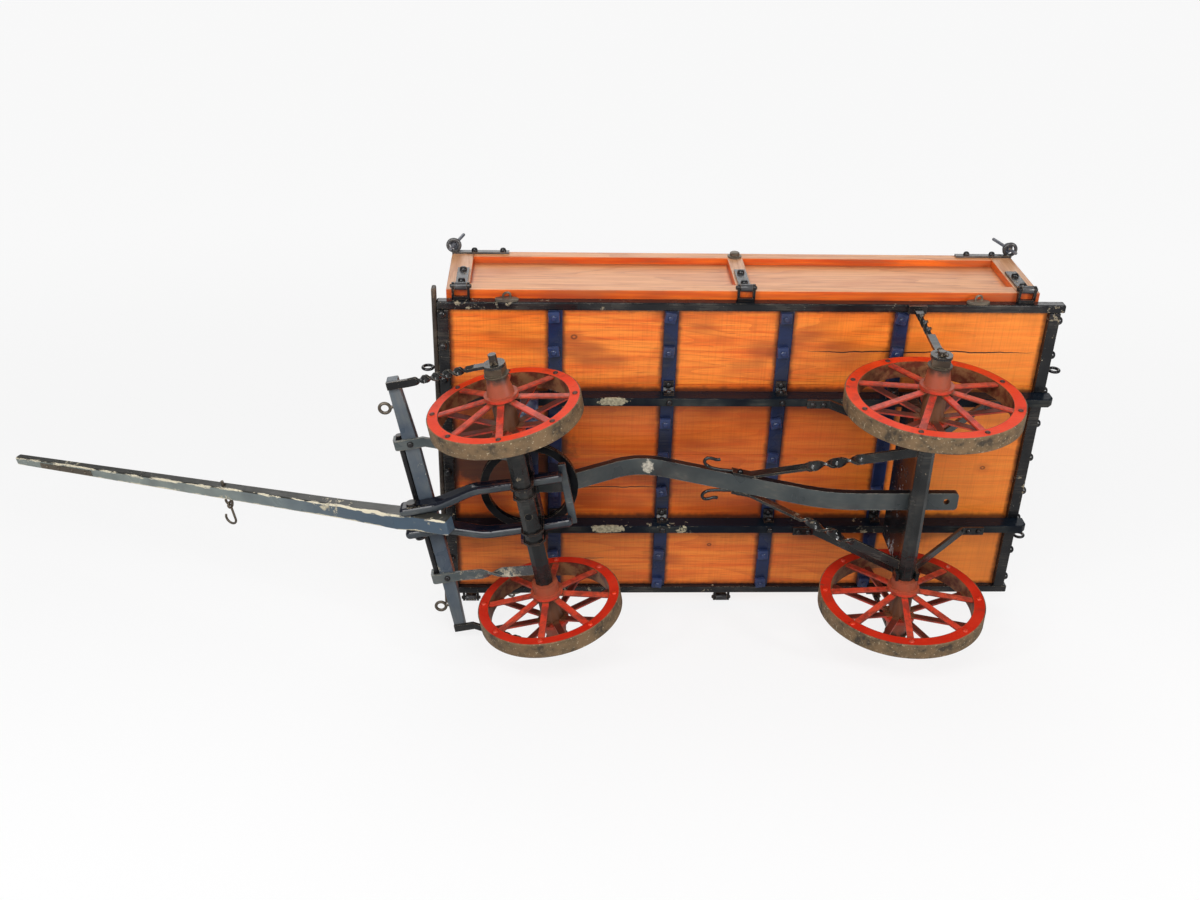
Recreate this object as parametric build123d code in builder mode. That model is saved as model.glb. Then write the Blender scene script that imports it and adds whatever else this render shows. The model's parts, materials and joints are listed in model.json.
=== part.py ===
from build123d import *
from math import cos, radians, sin
import os

# A scale model of a four-wheeled farm wagon: a shallow box body with drop sides and fixed ends on
# two sills, a fixed rear axle, a cranked reach, and a fore-carriage that turns under a ring and
# carries a hinged pole. Millimetres, +X forward, +Y left, +Z up, ground at Z = 0.
os.makedirs("parts", exist_ok=True)

# Fits shared by every piece
FIT = 0.1
RUNNING = 0.05
SWING = 0.3

# Bed frame and floor
BED_LENGTH = 480.0
BED_WIDTH = 270.0
BED_HEIGHT = 140.0
RAIL_HEIGHT = 9.0
SIDE_RAIL_WIDTH = 6.5
END_RAIL_WIDTH = 9.0
RAIL_HORN = 3.0
FRONT_BAR_THICKNESS = 3.5
FRONT_BAR_OVERHANG = 10.5
PLANK_COUNT = 4
PLANK_THICKNESS = 4.5
CROSS_WIDTH = 11.0
CROSS_THICKNESS = 3.0
CROSS_COUNT = 4
CROSS_PITCH = 89.0
REAR_CROSS_FROM_AXLE = 10.0
SILL_SPACING = 118.5
SILL_OFFSET = -2.8
SILL_WIDTH = 7.0
SILL_HEIGHT = 14.0
SILL_STUB = 4.0
CLEAT_LEG = 9.0
CLEAT_WIDTH = 8.0
CLEAT_THICKNESS = 1.8

# Framed boards round the bed: drop sides past the rails, fixed ends between them, and their irons
BOARD_HEIGHT = 79.5
BOARD_THICKNESS = 9.5
BOARD_OUTSET = 6.5
BOARD_FRONT_GAP = 7.0
BOARD_REAR_GAP = 16.0
END_BOARD_THICKNESS = 6.0
END_SETBACK = 2.1
END_REBATE = 1.5
TOP_RAIL_DEPTH = 11.0
BOTTOM_RAIL_DEPTH = 13.0
END_STILE_WIDTH = 17.5
MID_STILE_WIDTH = 12.5
PANEL_THICKNESS = 3.4
PANEL_RECESS = 5.5
END_PANEL_RECESS = 1.3
HINGE_REACH = 40.0
HINGE_WIDTH = 9.0
HINGE_IRON = 1.8
HINGE_EYE_RADIUS = 3.0
HINGE_PIN_RADIUS = 1.5
HINGE_LUG_LENGTH = 5.0
HINGE_DROP = 1.0
SIDE_HINGE_MARGIN = 11.3
LATCH_STRAP_LENGTH = 46.0
LATCH_STRAP_WIDTH = 5.0
LATCH_STRAP_IRON = 1.5
LATCH_FROM_TOP = 3.5
LATCH_RING_RADIUS = 4.8
LATCH_RING_INSET = 1.5
LATCH_WIRE_RADIUS = 1.4
LATCH_PIN_RADIUS = 1.3
LATCH_PIN_LENGTH = 34.0
LATCH_PIN_BELOW = 9.0
LATCH_COLLAR_RADIUS = 4.4
LATCH_COLLAR_HEIGHT = 1.6
LATCH_PIN_LEAN = 15.0

# Wheels and axles
KINGPIN_FROM_MID = 170.0
REAR_AXLE_FROM_MID = -127.0
FRONT_WHEEL_DIAMETER = 113.0
REAR_WHEEL_DIAMETER = 131.0
FRONT_RIM_DEPTH = 8.5
REAR_RIM_DEPTH = 9.5
RIM_WIDTH = 13.0
RIM_CHAMFER = 0.6
FRONT_TRACK = 175.0
REAR_TRACK = 179.0
SPOKES_PER_ROW = 8
WHEEL_TURNS = {"front_left": -2.0, "front_right": -15.4, "rear_left": -23.6, "rear_right": -16.2}
SPOKE_WIDTH = 5.0
SPOKE_THICKNESS = 2.0
SPOKE_INSET = 0.6
SPOKE_DISH = 6.0
HUB_BARREL_RADIUS = 8.5
HUB_FLANGE_RADIUS = 12.5
HUB_FLANGE_THICKNESS = 3.0
HUB_NOSE_RADIUS = 7.5
HUB_NOSE_LENGTH = 14.0
HUB_COLLAR_RADIUS = 10.0
HUB_COLLAR_LENGTH = 8.0
AXLE_BEAM = 13.0
AXLE_EDGE = 3.6
AXLE_ARM_RADIUS = 5.0
ARM_STUB_RADIUS = 3.0
WASHER_RADIUS = 9.0
WASHER_THICKNESS = 1.6
STAY_EYE_RADIUS = 8.0
STAY_IRON = 2.4
NUT_ACROSS = 13.0
NUT_HEIGHT = 5.5
NUT_TURN = 12.0
REAR_ARM_END = 2.6
FRONT_ARM_END = 7.0

# Reach and rear carriage
REACH_WIDTH = 15.0
REACH_THICKNESS = 5.5
REACH_NOSE = 14.0
REACH_FLAT = 28.0
REACH_CREST_FROM_KINGPIN = 87.0
REACH_CREST_RISE = 5.0
REACH_FOOT_FROM_AXLE = 66.0
REACH_TAIL = 34.0
REACH_END_FILLET = 3.0
TOW_HOLE_RADIUS = 2.5
TOW_HOLE_FROM_END = 9.0
REACH_BENDS = (40.0, 45.0, 120.0)
REAR_BOLSTER_THICKNESS = 9.0
BRACE_WIDTH = 8.0
BRACE_IRON = 2.2
BRACE_FROM_AXLE = 138.0
BRACE_TAB = 14.0
BRACE_GAP = 0.6
BRACE_TWIST = (0.34, 0.7)
BRACE_TURN = 450.0
STRUT_SPREAD = 62.0
STRUT_FOOT = 18.0
STRUT_WIDTH = 7.0
STRUT_IRON = 2.6
STRUT_BEND = 3.0
STAY_FOOT = 14.0
REAR_STAY_STRAIGHT = 0.12
REAR_STAY_TWIST = (0.3, 0.86)
REAR_STAY_TURN = 540.0
TWIST_STEP = 30.0

# Turntable and fore-carriage
STEER_ANGLE = -10.8
KINGPIN_RADIUS = 3.0
KINGPIN_HEAD_RADIUS = 6.0
KINGPIN_HEAD_HEIGHT = 3.0
BOLSTER_THICKNESS = 14.0
UPPER_BOLSTER_HEIGHT = 29.5
LOWER_BOLSTER_LENGTH = 84.0
BOLSTER_BEVEL = 0.5
RING_RADIUS = 38.0
RING_WIDTH = 6.0
RING_THICKNESS = 2.4
FUTCHELL_WIDTH = 7.0
FUTCHELL_DEPTH = 10.0
FUTCHELL_FRONT_DEPTH = 14.5
FUTCHELL_FRONT_RISE = 7.5
FUTCHELL_SPREAD = 40.0
FUTCHELL_TAIL = 30.0
FUTCHELL_NOSE = 10.0
FUTCHELL_BEND = 36.0
FUTCHELL_CRANK_START = 38.0
FUTCHELL_CRANK_END = 68.0
FUTCHELL_SEAT = 10.0
FUTCHELL_ROUND = 3.2
SWAY_WIDTH = 6.0
SWAY_THICKNESS = 4.0
CLIP_IRON = 1.6
CLIP_BEND = 1.15
SPLINTER_LENGTH = 230.0
SPLINTER_WIDTH = 11.0
SPLINTER_HEIGHT = 8.5
SPLINTER_FROM_KINGPIN = 78.0
SPLINTER_TAPER = 2.5
SPLINTER_STRAIGHT = 120.0
TRACE_EYE_SPACING = 184.0
TRACE_EYE_RADIUS = 4.0
TRACE_WIRE_RADIUS = 1.2
TRACE_SHANK = 3.0
ROD_RADIUS = 2.5
ROD_LENGTH = 136.0
ROD_RISE = 5.0
STRAP_WIDTH = 8.0
STRAP_IRON = 2.0
STRAP_SPACING = 124.0
STRAP_AXLE_SPACING = 104.0
STRAP_TWIST = (0.3, 0.75)
STRAP_TURN = 180.0
STAY_WIDTH = 6.0
FRONT_STAY_TWIST = (0.12, 0.88)
FRONT_STAY_TURN = 810.0
TAB_LENGTH = 5.0
TAB_BEND = 2.2

# Pole, its pivot and its hook
POLE_RAISE = 29.0
POLE_LENGTH = 453.0
POLE_TAIL = 32.0
POLE_PIVOT_FROM_KINGPIN = 88.0
POLE_PIVOT_DROP = 8.5
POLE_WIDTH = 13.0
POLE_TIP_WIDTH = 8.0
POLE_TAIL_DEPTH = 10.0
POLE_NECK_DEPTH = 15.0
POLE_NECK = 16.0
POLE_SHANK_DEPTH = 10.5
POLE_SHANK = 70.0
POLE_TIP_DEPTH = 7.0
POLE_PIN_RADIUS = 2.0
POLE_PIN_HEAD_RADIUS = 4.0
POLE_PIN_HEAD = 2.5
POLE_PLATE_START = 352.0
POLE_PLATE_LENGTH = 66.0
POLE_PLATE_WIDTH = 5.0
POLE_PLATE_IRON = 1.0
HOOK_FROM_PIVOT = 196.0
HOOK_EYE_RADIUS = 3.4
HOOK_EYE_WIRE = 1.1
HOOK_LOOP_RADIUS = 2.5
HOOK_WIRE_RADIUS = 1.0
HOOK_SHANK = 12.0
HOOK_BOWL_RADIUS = 5.2
HOOK_BOWL_SWEEP = 215.0
HOOK_BOLT_RADIUS = 1.3
HOOK_BOLT_STUB = 4.0
TIE_EYE_SPACING = 156.0
TIE_EYE_RADIUS = 4.0
TIE_WIRE_RADIUS = 1.2

# Heights above the ground, from the bed down to each axle
bed_top = BED_HEIGHT + RAIL_HEIGHT
cross_bottom = bed_top - PLANK_THICKNESS - CROSS_THICKNESS
sill_bottom = cross_bottom - SILL_HEIGHT
front_axle_z = FRONT_WHEEL_DIAMETER / 2
rear_axle_z = REAR_WHEEL_DIAMETER / 2
front_axle_top = front_axle_z + AXLE_BEAM / 2
rear_axle_top = rear_axle_z + AXLE_BEAM / 2
futchell_top = front_axle_top + FUTCHELL_DEPTH
splinter_bottom = futchell_top + FUTCHELL_FRONT_RISE
upper_ring_top = sill_bottom - UPPER_BOLSTER_HEIGHT
lower_ring_top = upper_ring_top - RING_THICKNESS - FIT
lower_bolster_top = lower_ring_top - RING_THICKNESS

# Frames: the origin lies under the middle of the overall length, so the bed is set back from it
steer = radians(STEER_ANGLE)
raised = radians(POLE_RAISE)
pole_reach = POLE_PIVOT_FROM_KINGPIN + POLE_LENGTH * cos(raised) + POLE_TIP_DEPTH / 2 * sin(raised)
front_end = KINGPIN_FROM_MID + pole_reach * cos(steer) + POLE_TIP_WIDTH / 2 * abs(sin(steer))
rear_end = -BED_LENGTH / 2 - FIT - 2 * TIE_EYE_RADIUS - 2 * TIE_WIRE_RADIUS
bed_x = -(front_end + rear_end) / 2
side_run = BED_LENGTH - BOARD_FRONT_GAP - BOARD_REAR_GAP
side_x = bed_x + (BOARD_REAR_GAP - BOARD_FRONT_GAP) / 2
end_board_x = side_run / 2 - END_SETBACK
head_inner_x = side_x + end_board_x - END_BOARD_THICKNESS
tail_inner_x = side_x - end_board_x + END_BOARD_THICKNESS
kingpin_x = bed_x + KINGPIN_FROM_MID
rear_axle_x = bed_x + REAR_AXLE_FROM_MID
pivot_z = splinter_bottom - POLE_PIVOT_DROP
FORE = Location((kingpin_x, 0, 0), (0, 0, STEER_ANGLE))
POLE = FORE * Location((POLE_PIVOT_FROM_KINGPIN, 0, pivot_z), (0, -POLE_RAISE, 0))


def finish(piece, name, frame=None):
    """Set a finished piece in its frame, label it and write it."""
    if frame is not None:
        piece.part.move(frame)
    piece.part.label = name
    export_step(piece.part, f"parts/{name}.step")


def sill_y(side):
    """Middle of the sill on one side of the wagon, 1 for left and -1 for right."""
    return side * SILL_SPACING / 2 + SILL_OFFSET


def across(x, y, z, turn):
    """Station of a bar that runs along X: a plane facing +X, turned about the bar."""
    angle = radians(turn)
    return Plane(origin=(x, y, z), x_dir=(0, cos(angle), sin(angle)), z_dir=(1, 0, 0))


def part_way(start, end, share):
    """The point at a share of the way from one point to another."""
    return [a + (b - a) * share for a, b in zip(start, end)]


def twist_stations(start, end, shares, turn_from, turn):
    """Evenly turned stations of a bar that twists between two shares of its length."""
    steps = round(abs(turn) / TWIST_STEP)
    stations = []
    for step in range(steps + 1):
        done = step / steps
        point = part_way(start, end, shares[0] + (shares[1] - shares[0]) * done)
        stations.append(across(*point, turn_from + turn * done))
    return stations


# Side rails: square iron along both sides of the bed, with a short horn past the rear rail
for side, name in ((1, "left_side_rail"), (-1, "right_side_rail")):
    with BuildPart() as side_rail:
        with Locations((bed_x - RAIL_HORN / 2, side * (BED_WIDTH - SIDE_RAIL_WIDTH) / 2, BED_HEIGHT)):
            Box(BED_LENGTH + RAIL_HORN, SIDE_RAIL_WIDTH, RAIL_HEIGHT,
                align=(Align.CENTER, Align.CENTER, Align.MIN))
    finish(side_rail, name)

# End rails: between the side rails, flush with the ends of the bed
inner_width = BED_WIDTH - 2 * SIDE_RAIL_WIDTH
for end, name in ((1, "front_rail"), (-1, "rear_rail")):
    with BuildPart() as end_rail:
        with Locations((bed_x + end * (BED_LENGTH - END_RAIL_WIDTH) / 2, 0, BED_HEIGHT)):
            Box(END_RAIL_WIDTH, inner_width - 2 * FIT, RAIL_HEIGHT,
                align=(Align.CENTER, Align.CENTER, Align.MIN))
        if end < 0:
            with Locations((bed_x - BED_LENGTH / 2 + END_RAIL_WIDTH / 2, 0, cross_bottom - SILL_HEIGHT)):
                with Locations((0, sill_y(1), 0), (0, sill_y(-1), 0)):
                    Box(END_RAIL_WIDTH + FIT, SILL_WIDTH + 2 * FIT, SILL_HEIGHT + FIT,
                        align=(Align.CENTER, Align.CENTER, Align.MIN), mode=Mode.SUBTRACT)
    finish(end_rail, name)

# Front bar: a flat bar across the face of the front rail, its ends standing past the side rails
with BuildPart() as front_bar:
    with Locations((bed_x + BED_LENGTH / 2 + FIT, 0, BED_HEIGHT)):
        Box(FRONT_BAR_THICKNESS, BED_WIDTH + 2 * FRONT_BAR_OVERHANG, RAIL_HEIGHT,
            align=(Align.MIN, Align.CENTER, Align.MIN))
finish(front_bar, "front_bar")

# Floor: planks running lengthwise inside the rails, rebated at both ends for the end boards
plank_pitch = (inner_width - 2 * FIT) / PLANK_COUNT
plank_length = BED_LENGTH - 2 * END_RAIL_WIDTH - 2 * FIT
with BuildPart() as floor_boards:
    with Locations((bed_x, 0, bed_top)):
        with GridLocations(0, plank_pitch, 1, PLANK_COUNT):
            Box(plank_length, plank_pitch - SWING, PLANK_THICKNESS,
                align=(Align.CENTER, Align.CENTER, Align.MAX))
    with Locations((head_inner_x - SWING, 0, bed_top)):
        Box(bed_x + BED_LENGTH / 2 - head_inner_x, BED_WIDTH, END_REBATE,
            align=(Align.MIN, Align.CENTER, Align.MAX), mode=Mode.SUBTRACT)
    with Locations((tail_inner_x + SWING, 0, bed_top)):
        Box(tail_inner_x - bed_x + BED_LENGTH / 2, BED_WIDTH, END_REBATE,
            align=(Align.MAX, Align.CENTER, Align.MAX), mode=Mode.SUBTRACT)
finish(floor_boards, "floor_boards")

# Cross members: flat bars under the planks
cross_xs = [rear_axle_x + REAR_CROSS_FROM_AXLE + CROSS_PITCH * i for i in range(CROSS_COUNT)]
with BuildPart() as cross_members:
    with Locations(*[(x, 0, cross_bottom) for x in cross_xs]):
        Box(CROSS_WIDTH, inner_width - 2 * FIT, CROSS_THICKNESS,
            align=(Align.CENTER, Align.CENTER, Align.MIN))
finish(cross_members, "cross_members")

# Sills: two long bearers under the cross members, stubs showing behind the rear rail
sill_front = bed_x + BED_LENGTH / 2 - END_RAIL_WIDTH - FIT
sill_length = sill_front - (bed_x - BED_LENGTH / 2 - SILL_STUB)
for side, name in ((1, "left_sill"), (-1, "right_sill")):
    with BuildPart() as sill:
        with Locations((sill_front, sill_y(side), cross_bottom)):
            Box(sill_length, SILL_WIDTH, SILL_HEIGHT, align=(Align.MAX, Align.CENTER, Align.MAX))
        chamfer(sill.edges().filter_by(Axis.Y).group_by(Axis.X)[0].sort_by(Axis.Z)[0], SILL_STUB)
    finish(sill, name)

# Cleats: small angle irons tying each cross member to the left face of each sill
with BuildPart() as sill_cleats:
    for x in cross_xs:
        for side in (1, -1):
            face_y = sill_y(side) + SILL_WIDTH / 2 + FIT
            with BuildSketch(Plane.YZ.offset(x - CLEAT_WIDTH / 2)):
                with BuildLine():
                    Polyline((face_y, cross_bottom - FIT), (face_y + CLEAT_LEG, cross_bottom - FIT),
                             (face_y + CLEAT_LEG, cross_bottom - FIT - CLEAT_THICKNESS),
                             (face_y + 2 * CLEAT_THICKNESS, cross_bottom - FIT - CLEAT_THICKNESS),
                             (face_y + CLEAT_THICKNESS, cross_bottom - FIT - 2 * CLEAT_THICKNESS),
                             (face_y + CLEAT_THICKNESS, cross_bottom - CLEAT_LEG),
                             (face_y, cross_bottom - CLEAT_LEG), close=True)
                make_face()
            extrude(amount=CLEAT_WIDTH)
finish(sill_cleats, "sill_cleats")

# Reach: one cranked bar from the kingpin, up over the swing of the front wheels, down to the axle
reach_front_z = upper_ring_top + REACH_THICKNESS / 2
reach_rear_z = rear_axle_top + REACH_THICKNESS / 2
reach_tail_x = rear_axle_x - REACH_TAIL
with BuildPart() as reach:
    with BuildSketch(Plane.XZ):
        with BuildLine():
            FilletPolyline((kingpin_x + REACH_NOSE, reach_front_z), (kingpin_x - REACH_FLAT, reach_front_z),
                           (kingpin_x - REACH_CREST_FROM_KINGPIN, sill_bottom + REACH_CREST_RISE),
                           (rear_axle_x + REACH_FOOT_FROM_AXLE, reach_rear_z),
                           (reach_tail_x, reach_rear_z), radius=REACH_BENDS)
        trace(line_width=REACH_THICKNESS)
    extrude(amount=REACH_WIDTH / 2, both=True)
    with Locations((kingpin_x, 0, reach_front_z)):
        Cylinder(KINGPIN_RADIUS + RUNNING, 2 * REACH_THICKNESS, mode=Mode.SUBTRACT)
    with Locations((reach_tail_x + TOW_HOLE_FROM_END, 0, reach_rear_z)):
        Cylinder(TOW_HOLE_RADIUS, 2 * REACH_THICKNESS, mode=Mode.SUBTRACT)
    fillet(reach.edges().filter_by(Axis.Z).group_by(Axis.X)[0], REACH_END_FILLET)
finish(reach, "reach")

# Front bolster: a beam hung under the sills, notched for the reach and bored for the kingpin
bolster_length = SILL_SPACING + 2 * SILL_WIDTH
with BuildPart() as front_bolster:
    with Locations((kingpin_x, 0, sill_bottom)):
        Box(BOLSTER_THICKNESS, bolster_length, UPPER_BOLSTER_HEIGHT,
            align=(Align.CENTER, Align.CENTER, Align.MAX))
    chamfer(front_bolster.edges().filter_by(Axis.X).group_by(Axis.Z)[0],
            UPPER_BOLSTER_HEIGHT * BOLSTER_BEVEL)
    with Locations((kingpin_x, 0, upper_ring_top)):
        Box(BOLSTER_THICKNESS, REACH_WIDTH + 2 * FIT, REACH_THICKNESS + FIT,
            align=(Align.CENTER, Align.CENTER, Align.MIN), mode=Mode.SUBTRACT)
        Cylinder(KINGPIN_RADIUS + RUNNING, UPPER_BOLSTER_HEIGHT,
                 align=(Align.CENTER, Align.CENTER, Align.MIN), mode=Mode.SUBTRACT)
finish(front_bolster, "front_bolster")

# Turntable rings: the upper one under the bolster, the lower one on the fore-carriage
for name, top, frame in (("upper_ring", upper_ring_top, Location((kingpin_x, 0, 0))),
                         ("lower_ring", lower_ring_top, FORE)):
    with BuildPart() as ring:
        with BuildSketch(Plane.XY.offset(top)):
            Circle(RING_RADIUS)
            Circle(RING_RADIUS - RING_WIDTH, mode=Mode.SUBTRACT)
        extrude(amount=-RING_THICKNESS)
    finish(ring, name, frame)

# Kingpin: headed pin dropped from the bolster's top through reach, ring, lower bolster and front axle
kingpin_end = front_axle_z - AXLE_BEAM / 2
with BuildPart() as kingpin:
    with Locations((kingpin_x, 0, sill_bottom)):
        Cylinder(KINGPIN_HEAD_RADIUS, KINGPIN_HEAD_HEIGHT, align=(Align.CENTER, Align.CENTER, Align.MIN))
    with Locations((kingpin_x, 0, kingpin_end)):
        Cylinder(KINGPIN_RADIUS, sill_bottom - kingpin_end,
                 align=(Align.CENTER, Align.CENTER, Align.MIN))
finish(kingpin, "kingpin")

hub_half = RIM_WIDTH / 2 + SPOKE_DISH + HUB_FLANGE_THICKNESS


def build_axle(name, frame, track, arm_end, has_kingpin):
    """Eight-sided beam and round arms with thin end stubs; the origin is the axle's middle."""
    shoulder = track / 2 - hub_half - HUB_COLLAR_LENGTH - SWING
    arm_length = nut_stack(track)[2] + STAY_IRON - shoulder
    with BuildPart() as axle:
        Box(AXLE_BEAM, 2 * shoulder, AXLE_BEAM)
        chamfer(axle.edges().filter_by(Axis.Y), AXLE_EDGE)
        for side in (1, -1):
            with BuildSketch(Plane.XZ.offset(-side * shoulder)):
                Circle(AXLE_ARM_RADIUS)
            extrude(amount=-side * arm_length)
            with BuildSketch(Plane.XZ.offset(-side * (shoulder + arm_length))):
                Circle(ARM_STUB_RADIUS)
            extrude(amount=-side * arm_end)
        if has_kingpin:
            Hole(KINGPIN_RADIUS + RUNNING)
    finish(axle, name, frame)


def nut_stack(track):
    """Places along an arm outwards from the hub: the washer, the nut and the eye of the stay."""
    hub_end = track / 2 + hub_half + HUB_NOSE_LENGTH
    washer = hub_end + SWING
    nut = washer + WASHER_THICKNESS + FIT
    eye = nut + NUT_HEIGHT + FIT
    return washer, nut, eye


def build_nuts(name, frame, track):
    """A washer and a square nut on each arm of an axle."""
    washer_y, nut_y, eye_y = nut_stack(track)
    with BuildPart() as nuts:
        for side in (1, -1):
            with BuildSketch(Plane.XZ.offset(-side * washer_y)):
                Circle(WASHER_RADIUS)
                Circle(AXLE_ARM_RADIUS + RUNNING, mode=Mode.SUBTRACT)
            extrude(amount=-side * WASHER_THICKNESS)
            with BuildSketch(Plane.XZ.offset(-side * nut_y)):
                Rectangle(NUT_ACROSS, NUT_ACROSS, rotation=NUT_TURN)
                Circle(AXLE_ARM_RADIUS + RUNNING, mode=Mode.SUBTRACT)
            extrude(amount=-side * NUT_HEIGHT)
    finish(nuts, name, frame)


REAR = Location((rear_axle_x, 0, rear_axle_z))
FRONT = FORE * Location((0, 0, front_axle_z))
build_axle("rear_axle", REAR, REAR_TRACK, REAR_ARM_END, False)
build_axle("front_axle", FRONT, FRONT_TRACK, FRONT_ARM_END, True)
build_nuts("rear_axle_nuts", REAR, REAR_TRACK)
build_nuts("front_axle_nuts", FRONT, FRONT_TRACK)


def build_wheel(name, frame, diameter, rim_depth):
    """Wheel with two dished rows of spokes about local Z, which points outwards from the wagon."""
    rim_inside = diameter / 2 - rim_depth
    flange_low = RIM_WIDTH / 2 + SPOKE_DISH
    nose_end = hub_half + HUB_NOSE_LENGTH
    collar_end = -hub_half - HUB_COLLAR_LENGTH
    bore = AXLE_ARM_RADIUS + RUNNING
    spoke_root = (bore + HUB_BARREL_RADIUS) / 2
    spoke_face = RIM_WIDTH / 2 - SPOKE_INSET
    stand = frame * Location((0, 0, 0), (0, 0, WHEEL_TURNS[name]))
    with BuildPart() as rim:
        with BuildSketch(Plane.XZ):
            with Locations((diameter / 2 - rim_depth / 2, 0)):
                Rectangle(rim_depth, RIM_WIDTH)
        revolve(axis=Axis.Z)
        chamfer(rim.edges().filter_by(GeomType.CIRCLE).group_by(SortBy.RADIUS)[-1], RIM_CHAMFER)
    finish(rim, f"{name}_rim", stand)
    with BuildPart() as hub:
        with BuildSketch(Plane.XZ):
            with BuildLine():
                Polyline((bore, collar_end), (HUB_COLLAR_RADIUS, collar_end),
                         (HUB_COLLAR_RADIUS, -hub_half), (HUB_FLANGE_RADIUS, -hub_half),
                         (HUB_FLANGE_RADIUS, -flange_low),
                         (HUB_BARREL_RADIUS, -flange_low), (HUB_BARREL_RADIUS, flange_low),
                         (HUB_FLANGE_RADIUS, flange_low), (HUB_FLANGE_RADIUS, hub_half),
                         (HUB_COLLAR_RADIUS, hub_half), (HUB_NOSE_RADIUS, nose_end),
                         (bore, nose_end), close=True)
            make_face()
        revolve(axis=Axis.Z)
        for face, row_angle in ((1, 0), (-1, 180 / SPOKES_PER_ROW)):
            with BuildPart(mode=Mode.PRIVATE) as spoke:
                with BuildSketch(Plane.XZ):
                    with BuildLine():
                        Polyline((spoke_root, face * flange_low), (rim_inside, face * spoke_face),
                                 (rim_inside, face * (spoke_face - SPOKE_THICKNESS)),
                                 (spoke_root, face * (flange_low - SPOKE_THICKNESS)), close=True)
                    make_face()
                extrude(amount=SPOKE_WIDTH / 2, both=True)
            with PolarLocations(0, SPOKES_PER_ROW, start_angle=row_angle):
                add(spoke.part)
        Cylinder(rim_inside - FIT, 2 * nose_end, mode=Mode.INTERSECT)
    finish(hub, f"{name}_hub_and_spokes", stand)


for side, side_name in ((1, "left"), (-1, "right")):
    outward = Location((0, side * FRONT_TRACK / 2, 0), (-side * 90, 0, 0))
    build_wheel(f"front_{side_name}", FRONT * outward, FRONT_WHEEL_DIAMETER, FRONT_RIM_DEPTH)
    outward = Location((0, side * REAR_TRACK / 2, 0), (-side * 90, 0, 0))
    build_wheel(f"rear_{side_name}", REAR * outward, REAR_WHEEL_DIAMETER, REAR_RIM_DEPTH)

# Rear bolster: a board on edge between the rear axle and the sills, notched over the reach
with BuildPart() as rear_bolster:
    with Locations((rear_axle_x, 0, rear_axle_top)):
        Box(REAR_BOLSTER_THICKNESS, bolster_length, sill_bottom - rear_axle_top,
            align=(Align.CENTER, Align.CENTER, Align.MIN))
        Box(REAR_BOLSTER_THICKNESS, REACH_WIDTH + 2 * FIT, REACH_THICKNESS + FIT,
            align=(Align.CENTER, Align.CENTER, Align.MIN), mode=Mode.SUBTRACT)
    with BuildSketch(Plane.YZ.offset(rear_axle_x)):
        with Locations((bolster_length / 2, rear_axle_top), (-bolster_length / 2, rear_axle_top)):
            Circle(AXLE_BEAM)
    extrude(amount=REAR_BOLSTER_THICKNESS, both=True, mode=Mode.SUBTRACT)
finish(rear_bolster, "rear_bolster")

# Reach braces: flat irons bolted to the reach's sides, twisted flat, and run back to the axle
brace_tab_x = rear_axle_x + BRACE_FROM_AXLE
crest_x = kingpin_x - REACH_CREST_FROM_KINGPIN
foot_x = rear_axle_x + REACH_FOOT_FROM_AXLE
reach_slope = (sill_bottom + REACH_CREST_RISE - reach_rear_z) / (crest_x - foot_x)
axle_front_x = rear_axle_x + AXLE_BEAM / 2 + FIT
with BuildPart() as reach_braces:
    for side in (1, -1):
        tab_y = side * (REACH_WIDTH / 2 + FIT + BRACE_IRON / 2)
        tab_z = reach_rear_z + reach_slope * (brace_tab_x - foot_x)
        bend = (brace_tab_x - BRACE_TAB, tab_y, tab_z - reach_slope * BRACE_TAB)
        brace_y = sill_y(side) - side * (STRUT_WIDTH / 2 + BRACE_GAP + BRACE_WIDTH / 2)
        landing = (axle_front_x, brace_y, rear_axle_z)
        planes = [across(brace_tab_x, tab_y, tab_z, 90), across(*bend, 90)]
        planes += twist_stations(bend, landing, BRACE_TWIST, 90, -side * BRACE_TURN)
        planes.append(across(*landing, 90 - side * BRACE_TURN))
        for plane in planes:
            with BuildSketch(plane):
                Rectangle(BRACE_WIDTH, BRACE_IRON)
        loft(ruled=True)
finish(reach_braces, "reach_braces")

# Rear struts: bent flat irons from the axle's faces up to feet bolted under the sills
foot_z = sill_bottom - FIT - STRUT_IRON / 2
with BuildPart() as rear_struts:
    for end in (1, -1):
        face_x = rear_axle_x + end * (AXLE_BEAM / 2 + FIT + STRUT_IRON / 2)
        for side in (1, -1):
            with BuildSketch(Plane.XZ.offset(-sill_y(side))):
                with BuildLine():
                    FilletPolyline((face_x, rear_axle_z - AXLE_BEAM / 2), (face_x, rear_axle_top),
                                   (rear_axle_x + end * STRUT_SPREAD, foot_z),
                                   (rear_axle_x + end * (STRUT_SPREAD + STRUT_FOOT), foot_z),
                                   radius=STRUT_BEND)
                trace(line_width=STRUT_IRON)
            extrude(amount=STRUT_WIDTH / 2, both=True)
finish(rear_struts, "rear_struts")


def stay_eye(frame_x, y, z, outward):
    """Round eye of a stay on an axle arm, its outer face further out by the iron's thickness."""
    with BuildSketch(Plane((frame_x, y, z), x_dir=(1, 0, 0), z_dir=(0, outward, 0))) as eye:
        Circle(STAY_EYE_RADIUS)
        Circle(AXLE_ARM_RADIUS + RUNNING, mode=Mode.SUBTRACT)
    extrude(eye.sketch, amount=STAY_IRON)


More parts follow.
